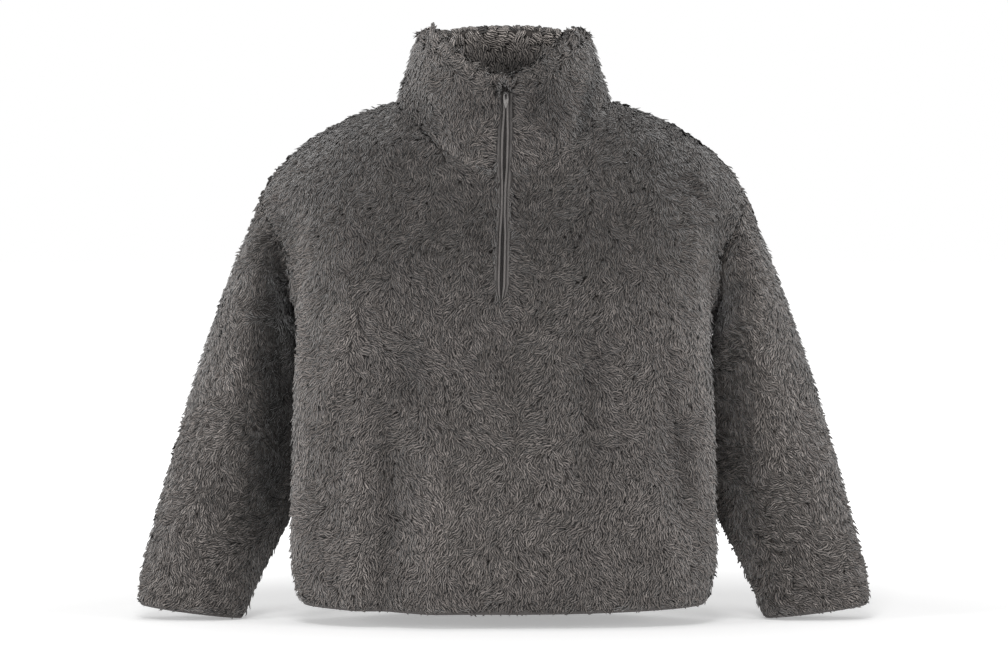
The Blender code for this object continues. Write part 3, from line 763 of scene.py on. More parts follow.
@dataclass
class Pile:
    """The curled locks that grow from one side of a shell.

    Lengths are in metres and turns in radians. A pair is the middle and the spread of a random
    number, apart from curl, which is the lowest and the highest.
    """

    name: str
    shell: FleeceShell
    combing: Combing
    finish: PileFinish
    count: int
    seed: int
    face: Face = Face.OUTER
    length: float = 0.0125
    width: float = 0.0086
    crown: float = 0.0012
    height: float = 0.0034
    loose: float = 0.08
    curl: tuple[float, float] = (0.12, 0.5)
    bends: float = 1.15
    sway: float = 2.6
    sway_size: float = 0.012
    setback: tuple[float, float] = (-0.0015, 0.0012)
    size: tuple[float, float] = (1.0, 0.14)
    breadth: tuple[float, float] = (1.0, 0.15)
    tone_spread: float = 0.15
    patch_tone: float = 0.12
    # painted shade on the locks that face up over a rim
    rim_painted_shade: float = 0.12
    stripes: int = 3
    weight: Optional[Callable[[Array, Array], Array]] = None
    rim: bool = False
    overhang: float = 0.0022
    piece: Optional[bpy.types.Object] = None

    NEAR = 0.03
    MOST_DROP = 0.006
    CELL_PRIMES = np.array([73856093, 19349663, 83492791])

    # Along a lock, from its root to its tip. The shades are painted shade, darkest at the root.
    STATIONS = np.array([0.0, 0.24, 0.52, 0.78, 1.0])
    HEIGHTS = np.array([0.05, 0.78, 1.0, 1.0, 0.72])
    WIDTHS = np.array([0.3, 0.9, 1.0, 0.8, 0.2])
    SHADES = np.array([0.7, 0.92, 1.03, 1.05, 0.92])

    # Each vertex of a lock: its station, its place across, and its painted shade. The middle is a
    # ridge with a painted highlight, and the edges have painted shade.
    PLAN = (
        (0, 0.5, 0.85),
        *((k, *spot) for k in (1, 2, 3) for spot in ((0.0, 0.6), (0.5, 1.1), (1.0, 0.6))),
        (4, 0.25, 1.0),
        (4, 0.75, 1.0),
    )
    FACES = (
        (0, 2, 1), (0, 3, 2), (1, 2, 5, 4), (2, 3, 6, 5),
        (4, 5, 8, 7), (5, 6, 9, 8), (7, 8, 10), (8, 9, 11),
    )

    def roots(self) -> tuple[Array, Array]:
        """Spreads the roots over the shell.

        Returns:
            Their places and the cloth's normals there, as N x 3 arrays.
        """
        rng = np.random.default_rng(self.seed)
        mesh = self.shell.piece.data
        mesh.calc_loop_triangles()
        corners = np.empty(len(mesh.loop_triangles) * 3, dtype=np.int32)
        mesh.loop_triangles.foreach_get("vertices", corners)
        corners = corners.reshape(-1, 3)
        points, normals = coordinates(mesh), vertex_normals(mesh)
        a, b, c = (points[corners[:, i]] for i in range(3))
        cross = np.cross(b - a, c - a)
        size = np.linalg.norm(cross, axis=1) / 2.0
        middle = (a + b + c) / 3.0
        facing = rows_dot(unit(cross), self.shell.core.away(middle))
        cut = np.empty(len(mesh.loop_triangles), dtype=np.int32)
        mesh.loop_triangles.foreach_get("material_index", cut)
        grows = facing * self.face.value > 0.1
        if self.rim:
            grows |= unit(cross)[:, 2] > 0.3
        share = size * grows * (cut == 0)
        if self.weight is not None:
            share = share * self.weight(middle, unit(cross))
        many = self.count * 4
        pick = rng.choice(len(share), many, p=share / share.sum())
        u, v = rng.random(many), rng.random(many)
        flip = u + v > 1.0
        u[flip], v[flip] = 1.0 - u[flip], 1.0 - v[flip]
        shares = np.stack([1.0 - u - v, u, v], axis=1)
        places = np.einsum("ij,ijk->ik", shares, points[corners[pick]])
        smooth = unit(np.einsum("ij,ijk->ik", shares, normals[corners[pick]]))
        flat = unit(cross)[pick]
        trust = smooth_step(rows_dot(smooth, flat), 0.75, 0.95)
        outward = unit(flat + smooth * trust[:, None] * 3.0)
        spread = share[pick] / size[pick]
        return self.thin(places, outward, spread, self.count, rng)

    @staticmethod
    def thin(
        places: Array, outward: Array, spread: Array, wanted: int, rng: np.random.Generator
    ) -> tuple[Array, Array]:
        """Drops the roots that stand closest together, until the wanted number is left.

        Args:
            places: N x 3 array of places.
            outward: N x 3 array of normals.
            spread: density asked for at each place.
            wanted: number of roots to keep.
            rng: the source of chance.

        Returns:
            The places and normals that are kept.
        """
        low, high = 0.0005, 0.02
        keep = np.arange(len(places))
        for _ in range(14):
            cell = (low + high) / 2.0
            pitch = cell / np.sqrt(np.maximum(spread, 0.05))[:, None]
            key = np.floor(places / pitch).astype(np.int64) @ Pile.CELL_PRIMES
            code = key + (pitch[:, 0] * 1e7).astype(np.int64)
            _, keep = np.unique(code, return_index=True)
            if len(keep) > wanted:
                low = cell
            else:
                high = cell
        keep = rng.permutation(keep)[:wanted]
        return places[keep], outward[keep]

    def centres(
        self, places: Array, outward: Array, rng: np.random.Generator
    ) -> tuple[Array, Array, Array]:
        """Lays the locks along the combing, each with its own bend, and keeps them near the cloth.

        Args:
            places: N x 3 roots of the locks.
            outward: N x 3 normals.
            rng: the source of chance.

        Returns:
            N x 5 x 3 middle points, N x 5 x 3 side vectors, and N x 3 normals.
        """
        n = len(places)
        lay = self.combing.directions(places, outward)
        lean = rng.normal(0.0, 0.12, n)
        curl = rng.uniform(*self.curl, n)
        sway = self.sway * SoftNoise(self.seed + 3, self.sway_size)(places) * math.pi
        phase = sway + rng.normal(0.0, 0.5, n)
        lift = rng.normal(1.0, 0.05, n)
        side = np.cross(outward, lay)
        beside = rng.normal(0.0, 0.0002, n)
        ahead = rng.normal(*self.setback, n)
        size = np.clip(rng.normal(*self.size, n), 0.6, 1.4)
        lean = lean + rng.normal(0.0, 0.06, n)
        phase = phase + rng.normal(0.0, 0.25, n)
        lift = lift + rng.normal(0.0, 0.03, n)
        if self.rim:
            lift = lift * (1.0 - 0.5 * smooth_step(outward[:, 2], 0.25, 0.75))
        tip = rng.normal(0.0, self.loose, n)
        tree = surface_of(self.shell.piece.data)
        here = places + side * beside[:, None] + lay * ahead[:, None]
        middles, sides = np.empty((n, 5, 3)), np.empty((n, 5, 3))
        for k, t in enumerate(self.STATIONS):
            turn = lean + curl * np.sin(2.0 * math.pi * self.bends * t + phase)
            along = lay * np.cos(turn)[:, None] + side * np.sin(turn)[:, None]
            if k:
                step = (t - self.STATIONS[k - 1]) * self.length * size
                here = here + along * step[:, None]
            if k != 1:
                here = self.kept_near(here, outward, tree)
            rise = self.HEIGHTS[k] * lift + (tip * (t - 0.5) * 1.3 if t > 0.5 else 0.0)
            middles[:, k] = here + outward * (self.height * rise)[:, None]
            sides[:, k] = np.cross(outward, along)
        return middles, sides, outward

    def kept_near(self, here: Array, outward: Array, tree: BVHTree) -> Array:
        """Brings points back onto the cloth, and back from beyond its edges.

        Args:
            here: N x 3 points.
            outward: N x 3 normals at the locks' roots.
            tree: the cloth's surface.

        Returns:
            The points, no further than the overhang beyond an edge.
        """
        offset = np.zeros_like(here)
        for i, point in enumerate(here):
            near = tree.find_nearest(point, self.NEAR)[0]
            if near is not None:
                offset[i] = point - np.array(near)
        drop = rows_dot(offset, outward)
        beyond = offset - outward * drop[:, None]
        far = np.linalg.norm(beyond, axis=1)
        excess = np.maximum(far - self.overhang, 0.0) / np.maximum(far, 1e-6)
        drop = np.clip(drop, -self.MOST_DROP, self.MOST_DROP)
        return here - beyond * excess[:, None] - outward * drop[:, None]

    def build(self) -> "Pile":
        """Makes the locks as one mesh.

        Returns:
            This pile.
        """
        rng = np.random.default_rng(self.seed + 5)
        middles, sides, outward = self.centres(*self.roots(), rng)
        n = len(middles)
        half = self.width / 2.0 * np.clip(rng.normal(*self.breadth, n), 0.6, 1.5)
        verts = np.empty((n, 12, 3))
        verts[:, 0] = middles[:, 0]
        for k in (1, 2, 3):
            across = sides[:, k] * (half * self.WIDTHS[k])[:, None]
            up = outward * (self.crown * self.WIDTHS[k])
            verts[:, 3 * k - 2] = middles[:, k] - across - up * 0.7
            verts[:, 3 * k - 1] = middles[:, k] + up * 0.3
            verts[:, 3 * k] = middles[:, k] + across - up * 0.7
        ahead = middles[:, 4] - middles[:, 3]
        for vertex, way in ((10, -1.0), (11, 1.0)):
            apart = sides[:, 4] * (half * 0.45 * way)[:, None]
            verts[:, vertex] = middles[:, 4] + apart + ahead * rng.normal(0.0, 0.3, n)[:, None]
        patch = SoftNoise(self.seed + 9, 0.05)(middles[:, 0]) * self.patch_tone
        tone = np.clip(1.0 + patch + rng.normal(0.0, self.tone_spread, n), 0.6, 1.45)
        # painted shade and light of the folds, carried onto the locks
        tone *= self.shell.painted_shade_at(middles[:, 0])
        # painted shade on the locks that face up over a rim
        tone *= 1.0 - self.rim_painted_shade * self.rim * smooth_step(outward[:, 2], 0.25, 0.7)
        lights = np.array([self.SHADES[station] * light for station, _, light in self.PLAN])
        self.piece = self.assemble(verts, tone[:, None] * lights, rng.random(n))
        declare(self.piece)
        self.shell.trim.append(self.name)
        log.info("%s: %d locks", self.name, n)
        return self

    def assemble(self, verts: Array, shade: Array, offset: Array) -> bpy.types.Object:
        """Turns the locks' vertices into a mesh.

        Args:
            verts: N x 12 x 3 vertices.
            shade: N x 12 shades.
            offset: one number for each lock, which sets its fibres apart.

        Returns:
            The new piece.
        """
        n = len(verts)
        loops = np.array([v for f in self.FACES for v in f])
        mesh = bpy.data.meshes.new(self.name)
        mesh.vertices.add(n * 12)
        mesh.vertices.foreach_set("co", verts.astype(np.float32).ravel())
        every = (np.arange(n)[:, None] * 12 + loops).ravel()
        mesh.loops.add(len(every))
        mesh.loops.foreach_set("vertex_index", every.astype(np.int32))
        totals = np.tile([len(f) for f in self.FACES], n)
        mesh.polygons.add(len(totals))
        mesh.polygons.foreach_set("loop_start", (np.cumsum(totals) - totals).astype(np.int32))
        mesh.update(calc_edges=True)
        paint_tone(mesh, shade)
        across = np.array([spot for _, spot, _ in self.PLAN])
        along = self.STATIONS[[station for station, _, _ in self.PLAN]]
        u = (np.floor(offset[:, None] * 60.0) + across * self.stripes)[:, loops].ravel()
        v = (offset[:, None] * 91.0 + along)[:, loops].ravel()
        layer = mesh.uv_layers.new(name="lock")
        layer.uv.foreach_set("vector", np.stack([u, v], axis=1).astype(np.float32).ravel())
        mesh.validate()
        return new_piece(self.name, mesh, self.finish.material())


@dataclass
class Wisps(Pile):
    """Thin single locks that stand a little higher than the tufts and soften the outline."""

    length: float = 0.0115
    width: float = 0.0026
    height: float = 0.0046
    loose: float = 0.35
    stripes: int = 1

    HEIGHTS = np.array([0.05, 0.75, 1.05, 1.2, 1.35])


# The garment

GROUND = GroundFinish("fleece_ground", (0.0900, 0.0800, 0.0750))
LOCKS = PileFinish("fleece_pile", (0.0632, 0.0565, 0.0527), valley=0.0)
WISPS = PileFinish("fleece_wisps", (0.0632, 0.0565, 0.0527), valley=0.3)
# The sleeves' pile: the same pile painted lighter, as painted light on the sleeves.
SLEEVE_LOCKS_PAINTED_LIGHT = PileFinish("sleeve_pile_painted_light", (0.0890, 0.0798, 0.0743), valley=0.0)
# The collar's inside: the same pile painted much lighter, as painted light falling into the collar,
# with painted shadow darker towards its bottom.
INNER_LOCKS_PAINTED_LIGHT = PileFinish(
    "collar_inner_pile_painted_light", (0.2350, 0.2120, 0.1970), valley=0.0, deep=(0.045, 0.080, 0.28)
)
BINDING = RibFinish("jersey_binding", (0.070, 0.064, 0.062), 0.0011)
TAPE = RibFinish("woven_tape", (0.080, 0.074, 0.071), 0.0009)
COIL = RibFinish("nylon_coil", (0.040, 0.037, 0.036), 0.0012)
THREAD = RibFinish("tack_thread", (0.105, 0.098, 0.094), 0.0006)
SLIDER_METAL = MetalFinish("painted_zinc", (0.05, 0.048, 0.047))
PULL_METAL = MetalFinish("brushed_pull", (0.155, 0.147, 0.142), 0.25)

TORSO_CORE = Core(((0.0, 0.0, -0.62), (0.0, 0.0, -0.14)), (0.15, 0.03, 0.0))
COLLAR_CORE = Core(((0.0, 0.0, -0.12), (0.0, 0.0, 0.16)), (0.03, 0.03, 0.0))


def sleeve_core(side: int) -> Core:
    """Gives the middle line of a sleeve.

    Args:
        side: 1 for the right of the picture, -1 for the left.

    Returns:
        The line, from the shoulder to the cuff.
    """
    line = (
        (0.17, 0.005, -0.12), (0.235, 0.01, -0.17), (0.285, 0.02, -0.26),
        (0.312, 0.035, -0.405), (0.337, 0.03, -0.485), (0.362, 0.018, -0.60),
    )
    return Core(tuple((side * x, y, z) for x, y, z in line))


@dataclass
class Zip:
    """The half zip: where its middle runs, its tapes, coil, slider and pull.

    The tapes are squeezed where the slit is narrower than tape_full, and their outer edges are
    tucked under the pile. The bar tack's threads stand off the collar, and sink at their ends.
    """

    foot: float = -0.2285
    top: float = 0.0145
    x0: float = 0.0024
    lean: float = 0.0247
    half: float = 0.0095
    foot_half: float = 0.0035
    foot_taper: float = 0.022
    tape_thick: float = 0.0012
    tape_full: float = 0.0075
    lip: float = 0.003
    tuck: float = 0.0024
    levels: int = 90
    tooth_pitch: float = 0.0014
    tooth_thick: float = 0.00042
    coil_top: float = 0.0005
    tack_left: float = -0.0088
    tack_long: float = 0.0150
    tack_foot: float = 0.0165
    tack_pitch: float = 0.0021
    tack_threads: int = 5
    tack_steps: int = 9
    thread_thick: float = 0.00055
    thread_lift: float = 0.0022
    thread_sink: float = 0.0016
    gaps: tuple[tuple[float, float], ...] = (
        (-0.2285, 0.0004), (-0.2050, 0.0019), (-0.1500, 0.0018), (-0.1250, 0.0005),
        (-0.0950, 0.0005), (-0.0700, 0.0018), (-0.0350, 0.0018), (-0.0040, 0.0005),
        (0.0145, 0.0005),
    )

    # Across from the gap's edge, out from the tape's face, and the painted shade: a rolled lip with
    # a painted highlight on top, a groove in painted shadow, and a ridge with a painted highlight.
    PROFILE = (
        (0.0003, -0.0012, 0.3), (0.0, -0.0006, 0.4), (0.0001, 0.0002, 0.75),
        (0.0007, 0.0009, 1.3), (0.0016, 0.0012, 1.5), (0.0024, 0.0008, 1.1),
        (0.0029, -0.0001, 0.45), (0.0032, -0.0004, 0.3), (0.0036, 0.0, 0.55),
        (0.0042, 0.0004, 0.9), (0.0048, 0.0005, 0.9), (0.0056, 0.0009, 1.35),
        (0.0064, 0.0008, 1.3), (0.0070, 0.0002, 0.9),
    )

    # Half a tooth's bend: how far past the middle, and how deep behind the tape.
    HAIRPIN = (
        (-0.0025, 0.0004), (-0.0006, 0.0002), (0.0007, 0.0006),
        (0.0007, 0.0012), (-0.0006, 0.0016), (-0.0025, 0.0014),
    )

    def __post_init__(self) -> None:
        """Finds the tapes' face in the frame, which the dressed pieces follow."""
        self.faces = {
            side: surface_of(node_geometry(name))
            for side, name in ((-1, "zip_tape_left"), (1, "zip_tape_right"))
        }

    def middle(self, z: Array) -> Array:
        """Returns the x of the zip's middle at heights z."""
        return self.x0 + self.lean * np.minimum(z, 0.0)

    def beside(self, points: Array) -> Array:
        """Returns how far to the right of the zip's middle each point lies."""
        return points[:, 0] - self.middle(points[:, 2])

    def gap(self, z: float) -> float:
        """Returns half the gap between the tapes at height z."""
        return float(np.interp(z, [g[0] for g in self.gaps], [g[1] for g in self.gaps]))

    def reach(self, z: Array) -> Array:
        """Returns half the width of the slit in the cloth at heights z."""
        narrow = 1.0 - smooth_step(z, self.foot, self.foot + self.foot_taper)
        return self.half - (self.half - self.foot_half) * narrow

    def face(self, z: float, side: int) -> Vector:
        """Finds the tape's face at height z, on its thicker edge.

        Args:
            z: the height.
            side: 1 for the right of the picture.

        Returns:
            The point on the face, with its x on the zip's middle.
        """
        inside = min(max(z, self.foot + 0.0006), self.top - 0.0008)
        x = float(self.middle(np.array(inside))) + side * (self.gap(inside) + 0.0009)
        hit = self.faces[side].ray_cast(Vector((x, IN_FRONT, inside)), BACKWARD)[0]
        return Vector((float(self.middle(np.array(z))), hit.y, z))

    def nearness(self, points: Array, fade: float) -> Array:
        """Returns 1 beside the zip's slit, falling to 0 over a distance of about fade."""
        beyond = np.maximum(np.abs(self.beside(points)) - self.half, 0.0)
        return np.exp(-((beyond / fade) ** 2))

    def keep_clear(self, points: Array, normals: Array) -> Array:
        """Returns 0 on the zip's tapes and 1 elsewhere on the front."""
        height = points[:, 2]
        inside = (height > self.foot) & (height < self.top - 0.0025) & (points[:, 1] < 0.0)
        return np.where(inside & (np.abs(self.beside(points)) < self.reach(height)), 0.0, 1.0)

    def tape(self, side: int) -> None:
        """Makes one tape: its rolled lip beside the gap, a groove, and a ridge beside the pile.

        Args:
            side: 1 for the right of the picture.
        """
        heights = np.linspace(self.foot + 0.0003, self.top, self.levels)
        path = [self.face(z, side) for z in heights]
        verts, shades = [], []
        for i, (z, point) in enumerate(zip(heights, path)):
            below, above = path[max(i - 1, 0)], path[min(i + 1, self.levels - 1)]
            lean = (above.y - below.y) / (above.z - below.z)
            normal = Vector((0.0, -1.0, lean)).normalized()
            near, far = self.gap(z), float(self.reach(np.array(z))) - 0.0003
            squeeze = min(1.0, (far - near) / self.tape_full)
            # painted shadow of the collar: beyond its lip, the tape is painted darker towards the
            # top
            collar_shadow = 0.6 + 0.4 * float(smooth_step(np.array(-z), 0.035, 0.07))
            row = [(near + across * squeeze, out, shade) for across, out, shade in self.PROFILE]
            edge = far + self.tuck
            # the tucked edge, with painted shade where it lies under the pile
            row += [(edge, -0.0001, 0.9), (edge, -self.tape_thick, 0.5)]
            for across, out, shade in row:
                verts.append(point + Vector((side * across, 0.0, 0.0)) + normal * out)
                shades.append(shade * (collar_shadow if across > near + self.lip else 1.0))
        ring = len(self.PROFILE) + 2
        faces = []
        for i in range(self.levels - 1):
            for j in range(ring):
                k = (j + 1) % ring
                quad = (i * ring + j, i * ring + k, (i + 1) * ring + k, (i + 1) * ring + j)
                faces.append(quad if side > 0 else quad[::-1])
        last = (self.levels - 1) * ring
        ends = [tuple(range(ring))[::-1], tuple(last + j for j in range(ring))]
        faces += ends if side > 0 else [end[::-1] for end in ends]
        name = "zip_tape_right" if side > 0 else "zip_tape_left"
        mesh = bpy.data.meshes.new(name + "_strip")
        mesh.from_pydata(verts, [], faces)
        paint_tone(mesh, np.array(shades))
        piece = new_piece(name + "_strip", mesh, TAPE.material())
        declare(piece, name)
        log.info("%s: %d faces", piece.name, len(faces))

    def coil(self) -> None:
        """Makes the closed coil behind the tapes: two rows of hairpin teeth that mesh."""
        count = int((self.coil_top - self.foot - 0.002) / self.tooth_pitch) * 2
        teeth = []
        for i in range(count):
            side = 1 if i % 2 else -1
            start = self.face(self.foot + 0.0015 + i * self.tooth_pitch / 2.0, side)
            teeth.append([
                start + Vector((-side * across, self.tape_thick + 0.0003 + deep, 0.0))
                for across, deep in self.HAIRPIN
            ])
        piece = self.rods("zip_coil_teeth", teeth, self.tooth_thick, 5, COIL)
        declare(piece, "zip_coil")

    def tack(self, ground: BVHTree) -> None:
        """Makes the bar tack that closes the slit above the slider, as a few threads across it.

        Args:
            ground: the collar's face, which the threads lie on.
        """
        threads = []
        for row in range(self.tack_threads):
            z = self.tack_foot + row * self.tack_pitch
            thread = []
            for i in range(self.tack_steps):
                t = i / (self.tack_steps - 1)
                x = self.tack_left + self.tack_long * t + 0.0006 * (row % 2)
                hit = ground.ray_cast(Vector((x, IN_FRONT, z)), BACKWARD)[0]
                sink = self.thread_sink * abs(2.0 * t - 1.0) ** 3
                wave = 0.0003 * math.sin(7.0 * t + row)
                thread.append(Vector((x, hit.y + sink - self.thread_lift, z + wave)))
            threads.append(thread)
        piece = self.rods("zip_bar_tack", threads, self.thread_thick, 6, THREAD)
        declare(piece)

    @staticmethod
    def rods(
        name: str, lines: list[list[Vector]], radius: float, sides: int, finish: RibFinish
    ) -> bpy.types.Object:
        """Makes one piece of thin round rods that run across the front.

        Args:
            name: the piece's name.
            lines: the middle points of each rod.
            radius: half a rod's thickness.
            sides: number of flat sides of a rod.
            finish: what the rods are made of.

        Returns:
            The new piece.
        """
        turns = [2.0 * math.pi * j / sides for j in range(sides)]
        verts, faces = [], []
        for line in lines:
            for centre in line:
                first = len(verts)
                verts += [centre + Vector((0.0, math.cos(t), math.sin(t))) * radius for t in turns]
                ring = [first + j for j in range(sides)]
                if centre is line[0]:
                    faces.append(tuple(ring[::-1]))
                else:
                    for j in range(sides):
                        a, b = ring[j], ring[(j + 1) % sides]
                        faces.append((a - sides, b - sides, b, a))
            faces.append(tuple(ring))
        mesh = bpy.data.meshes.new(name)
        mesh.from_pydata(verts, [], faces)
        work = bmesh.new()
        work.from_mesh(mesh)
        bmesh.ops.recalc_face_normals(work, faces=work.faces)
        work.to_mesh(mesh)
        work.free()
        paint_tone(mesh, np.ones(len(verts)))
        log.info("%s: %d rods", name, len(lines))
        return new_piece(name, mesh, finish.material())

    @staticmethod
    def dress(node: str, finish: MetalFinish) -> None:
        """Gives a hard CAD node its metal.

        Args:
            node: the node's name.
            finish: the metal.
        """
        metal = finish.material()
        for solid in solids_of(node):
            for slot in solid.material_slots:
                slot.material = metal

    def build(self) -> None:
        """Makes the tapes, coil and bar tack, and dresses the slider and the pull."""
        for side in (-1, 1):
            self.tape(side)
        self.coil()
        self.tack(surface_of(node_geometry("collar")))
        self.dress("zip_slider", SLIDER_METAL)
        self.dress("zip_pull", PULL_METAL)


@dataclass
class Torso:
    """The front and the back, from the shoulders to the hem."""

    zip: Zip
    front_locks: int = 19000
    front_wisps: int = 7500
    back_locks: int = 13000
    back_wisps: int = 4500
    overhang: float = 0.0045
    back_overhang: float = 0.0012

    # Each fold's shade is painted: painted shadow in the troughs and in the deep creases beside the
    # sleeves, a painted highlight on the ridges and along the torso's edges, and, in the rows with
    # no depth, painted shade on the chest and shoulders and painted light on the belly.
    FRONT_FOLDS = (
        Fold(((-0.180, -0.215), (-0.190, -0.290), (-0.209, -0.350)), 0.017, -0.005, 1.12),
        Fold(((-0.161, -0.350), (-0.166, -0.450), (-0.168, -0.570)), 0.017, -0.005, 1.12),
        Fold(((-0.078, -0.380), (-0.076, -0.460), (-0.080, -0.545)), 0.019, -0.004, 1.10),
        Fold(((0.151, -0.440), (0.193, -0.494), (0.207, -0.560)), 0.016, -0.005, 1.12),
        Fold(((0.064, -0.385), (0.066, -0.455)), 0.018, -0.003, 1.07),
        Fold(((0.200, -0.250), (0.214, -0.330)), 0.016, -0.003, 1.10),
        Fold(((-0.131, -0.345), (-0.128, -0.450), (-0.131, -0.565)), 0.017, 0.005, 0.84),
        Fold(((-0.116, -0.255), (-0.104, -0.345)), 0.020, 0.004, 0.84),
        Fold(((0.099, -0.240), (0.096, -0.330), (0.101, -0.415)), 0.019, 0.0045, 0.85),
        Fold(((0.189, -0.350), (0.200, -0.400), (0.207, -0.455)), 0.014, 0.005, 0.84),
        Fold(((-0.010, -0.275), (0.020, -0.310)), 0.018, 0.003, 0.86),
        Fold(((0.013, -0.231), (0.036, -0.252), (0.058, -0.277)), 0.006, -0.002, 1.14),
        Fold(((-0.078, -0.039), (-0.048, -0.054), (-0.017, -0.066)), 0.007, -0.002, 1.16),
        Fold(((0.065, -0.066), (0.088, -0.028)), 0.007, -0.002, 1.14),
        Fold(((-0.150, -0.090), (-0.120, -0.200)), 0.040, 0.003, 0.95),
        Fold(((0.150, -0.090), (0.110, -0.190)), 0.040, 0.003, 0.95),
        Fold(
            (
                (-0.228, -0.110), (-0.231, -0.275), (-0.2335, -0.345), (-0.240, -0.453),
                (-0.243, -0.560),
            ),
            0.011, -0.001, 1.26,
        ),
        Fold(
            ((0.222, -0.140), (0.229, -0.274), (0.234, -0.351), (0.242, -0.453), (0.244, -0.560)),
            0.011, -0.001, 1.2,
        ),
        Fold(((-0.256, -0.120), (-0.263, -0.190), (-0.262, -0.270)), 0.016, 0.009, 0.5),
        Fold(((0.247, -0.120), (0.254, -0.190), (0.254, -0.270)), 0.014, 0.008, 0.55),
        Fold(((-0.220, -0.140), (0.220, -0.140)), 0.085, 0.0, 0.78),
        Fold(((-0.220, -0.500), (0.220, -0.500)), 0.100, 0.0, 1.12),
        Fold(((0.120, -0.010), (0.250, -0.100)), 0.060, 0.0, 0.77),
        Fold(((-0.120, -0.005), (-0.250, -0.090)), 0.060, 0.0, 0.84),
    )
    # Painted shadow in the troughs and a painted highlight on the ridges, as in front.
    BACK_FOLDS = (
        Fold(((-0.150, -0.250), (-0.165, -0.400), (-0.160, -0.560)), 0.018, -0.005, 1.10, False),
        Fold(((0.160, -0.230), (0.172, -0.380), (0.168, -0.560)), 0.018, -0.005, 1.10, False),
        Fold(((-0.110, -0.300), (-0.118, -0.560)), 0.018, 0.005, 0.86, False),
        Fold(((0.116, -0.280), (0.126, -0.560)), 0.018, 0.005, 0.86, False),
        Fold(((0.010, -0.330), (0.0, -0.560)), 0.026, 0.003, 0.92, False),
        Fold(((0.060, -0.180), (0.120, -0.250)), 0.022, 0.003, 0.90, False),
        Fold(((-0.060, -0.190), (-0.120, -0.240)), 0.022, 0.003, 0.90, False),
    )

    @staticmethod
    def lay_back(points: Array, normals: Array) -> Array:
        """Gives the main lay on the back: down, and out at the sides.

        Args:
            points: N x 3 array of roots.
            normals: N x 3 array of the cloth's normals there; not used.

        Returns:
            N x 3 array of directions.
        """
        lay = np.zeros_like(points)
        lay[:, 2] = -1.0
        across = points[:, 0]
        lay[:, 0] = np.sign(across) * smooth_step(np.abs(across), 0.15, 0.23) * 1.2
        return lay

    def lay_front(self, points: Array, normals: Array) -> Array:
        """Gives the main lay on the front: as on the back, and away from the zip beside it.

        Args:
            points: N x 3 array of roots.
            normals: N x 3 array of the cloth's normals there.

        Returns:
            N x 3 array of directions.
        """
        lay = self.lay_back(points, normals)
        near = self.zip.nearness(points, 0.016)
        near *= smooth_step(points[:, 2], self.zip.foot - 0.02, self.zip.foot)
        lay[:, 0] += np.sign(self.zip.beside(points)) * near * 2.2
        return lay

    def build(self) -> None:
        """Makes both panels and their pile."""
        sleeves = ("sleeve_left_cloth", "sleeve_right_cloth")
        front = FleeceShell(
            "front", TORSO_CORE, GROUND, (0.64, 0.60), 0.33, sleeves, folds=self.FRONT_FOLDS
        ).build()
        back = FleeceShell(
            "back", TORSO_CORE, GROUND, (0.64, 0.62), 0.34, sleeves, folds=self.BACK_FOLDS
        ).build()
        combing = Combing(self.lay_front, 31)
        clear = self.zip.keep_clear
        for name, seed, sign in (("front_pile_left", 11, -1.0), ("front_pile_right", 13, 1.0)):
            Pile(
                name, front, combing, LOCKS, self.front_locks // 2, seed, overhang=self.overhang,
                weight=lambda p, n, s=sign: clear(p, n) * (p[:, 0] * s > 0.0),
            ).build()
        Wisps(
            "front_wisps", front, combing, WISPS, self.front_wisps, 12, overhang=self.overhang,
            weight=clear,
        ).build()
        combing = Combing(self.lay_back, 57)
        short = self.back_overhang
        Pile("back_pile", back, combing, LOCKS, self.back_locks, 21, overhang=short).build()
        Wisps("back_wisps", back, combing, WISPS, self.back_wisps, 22, overhang=short).build()
        front.declare()
        back.declare()


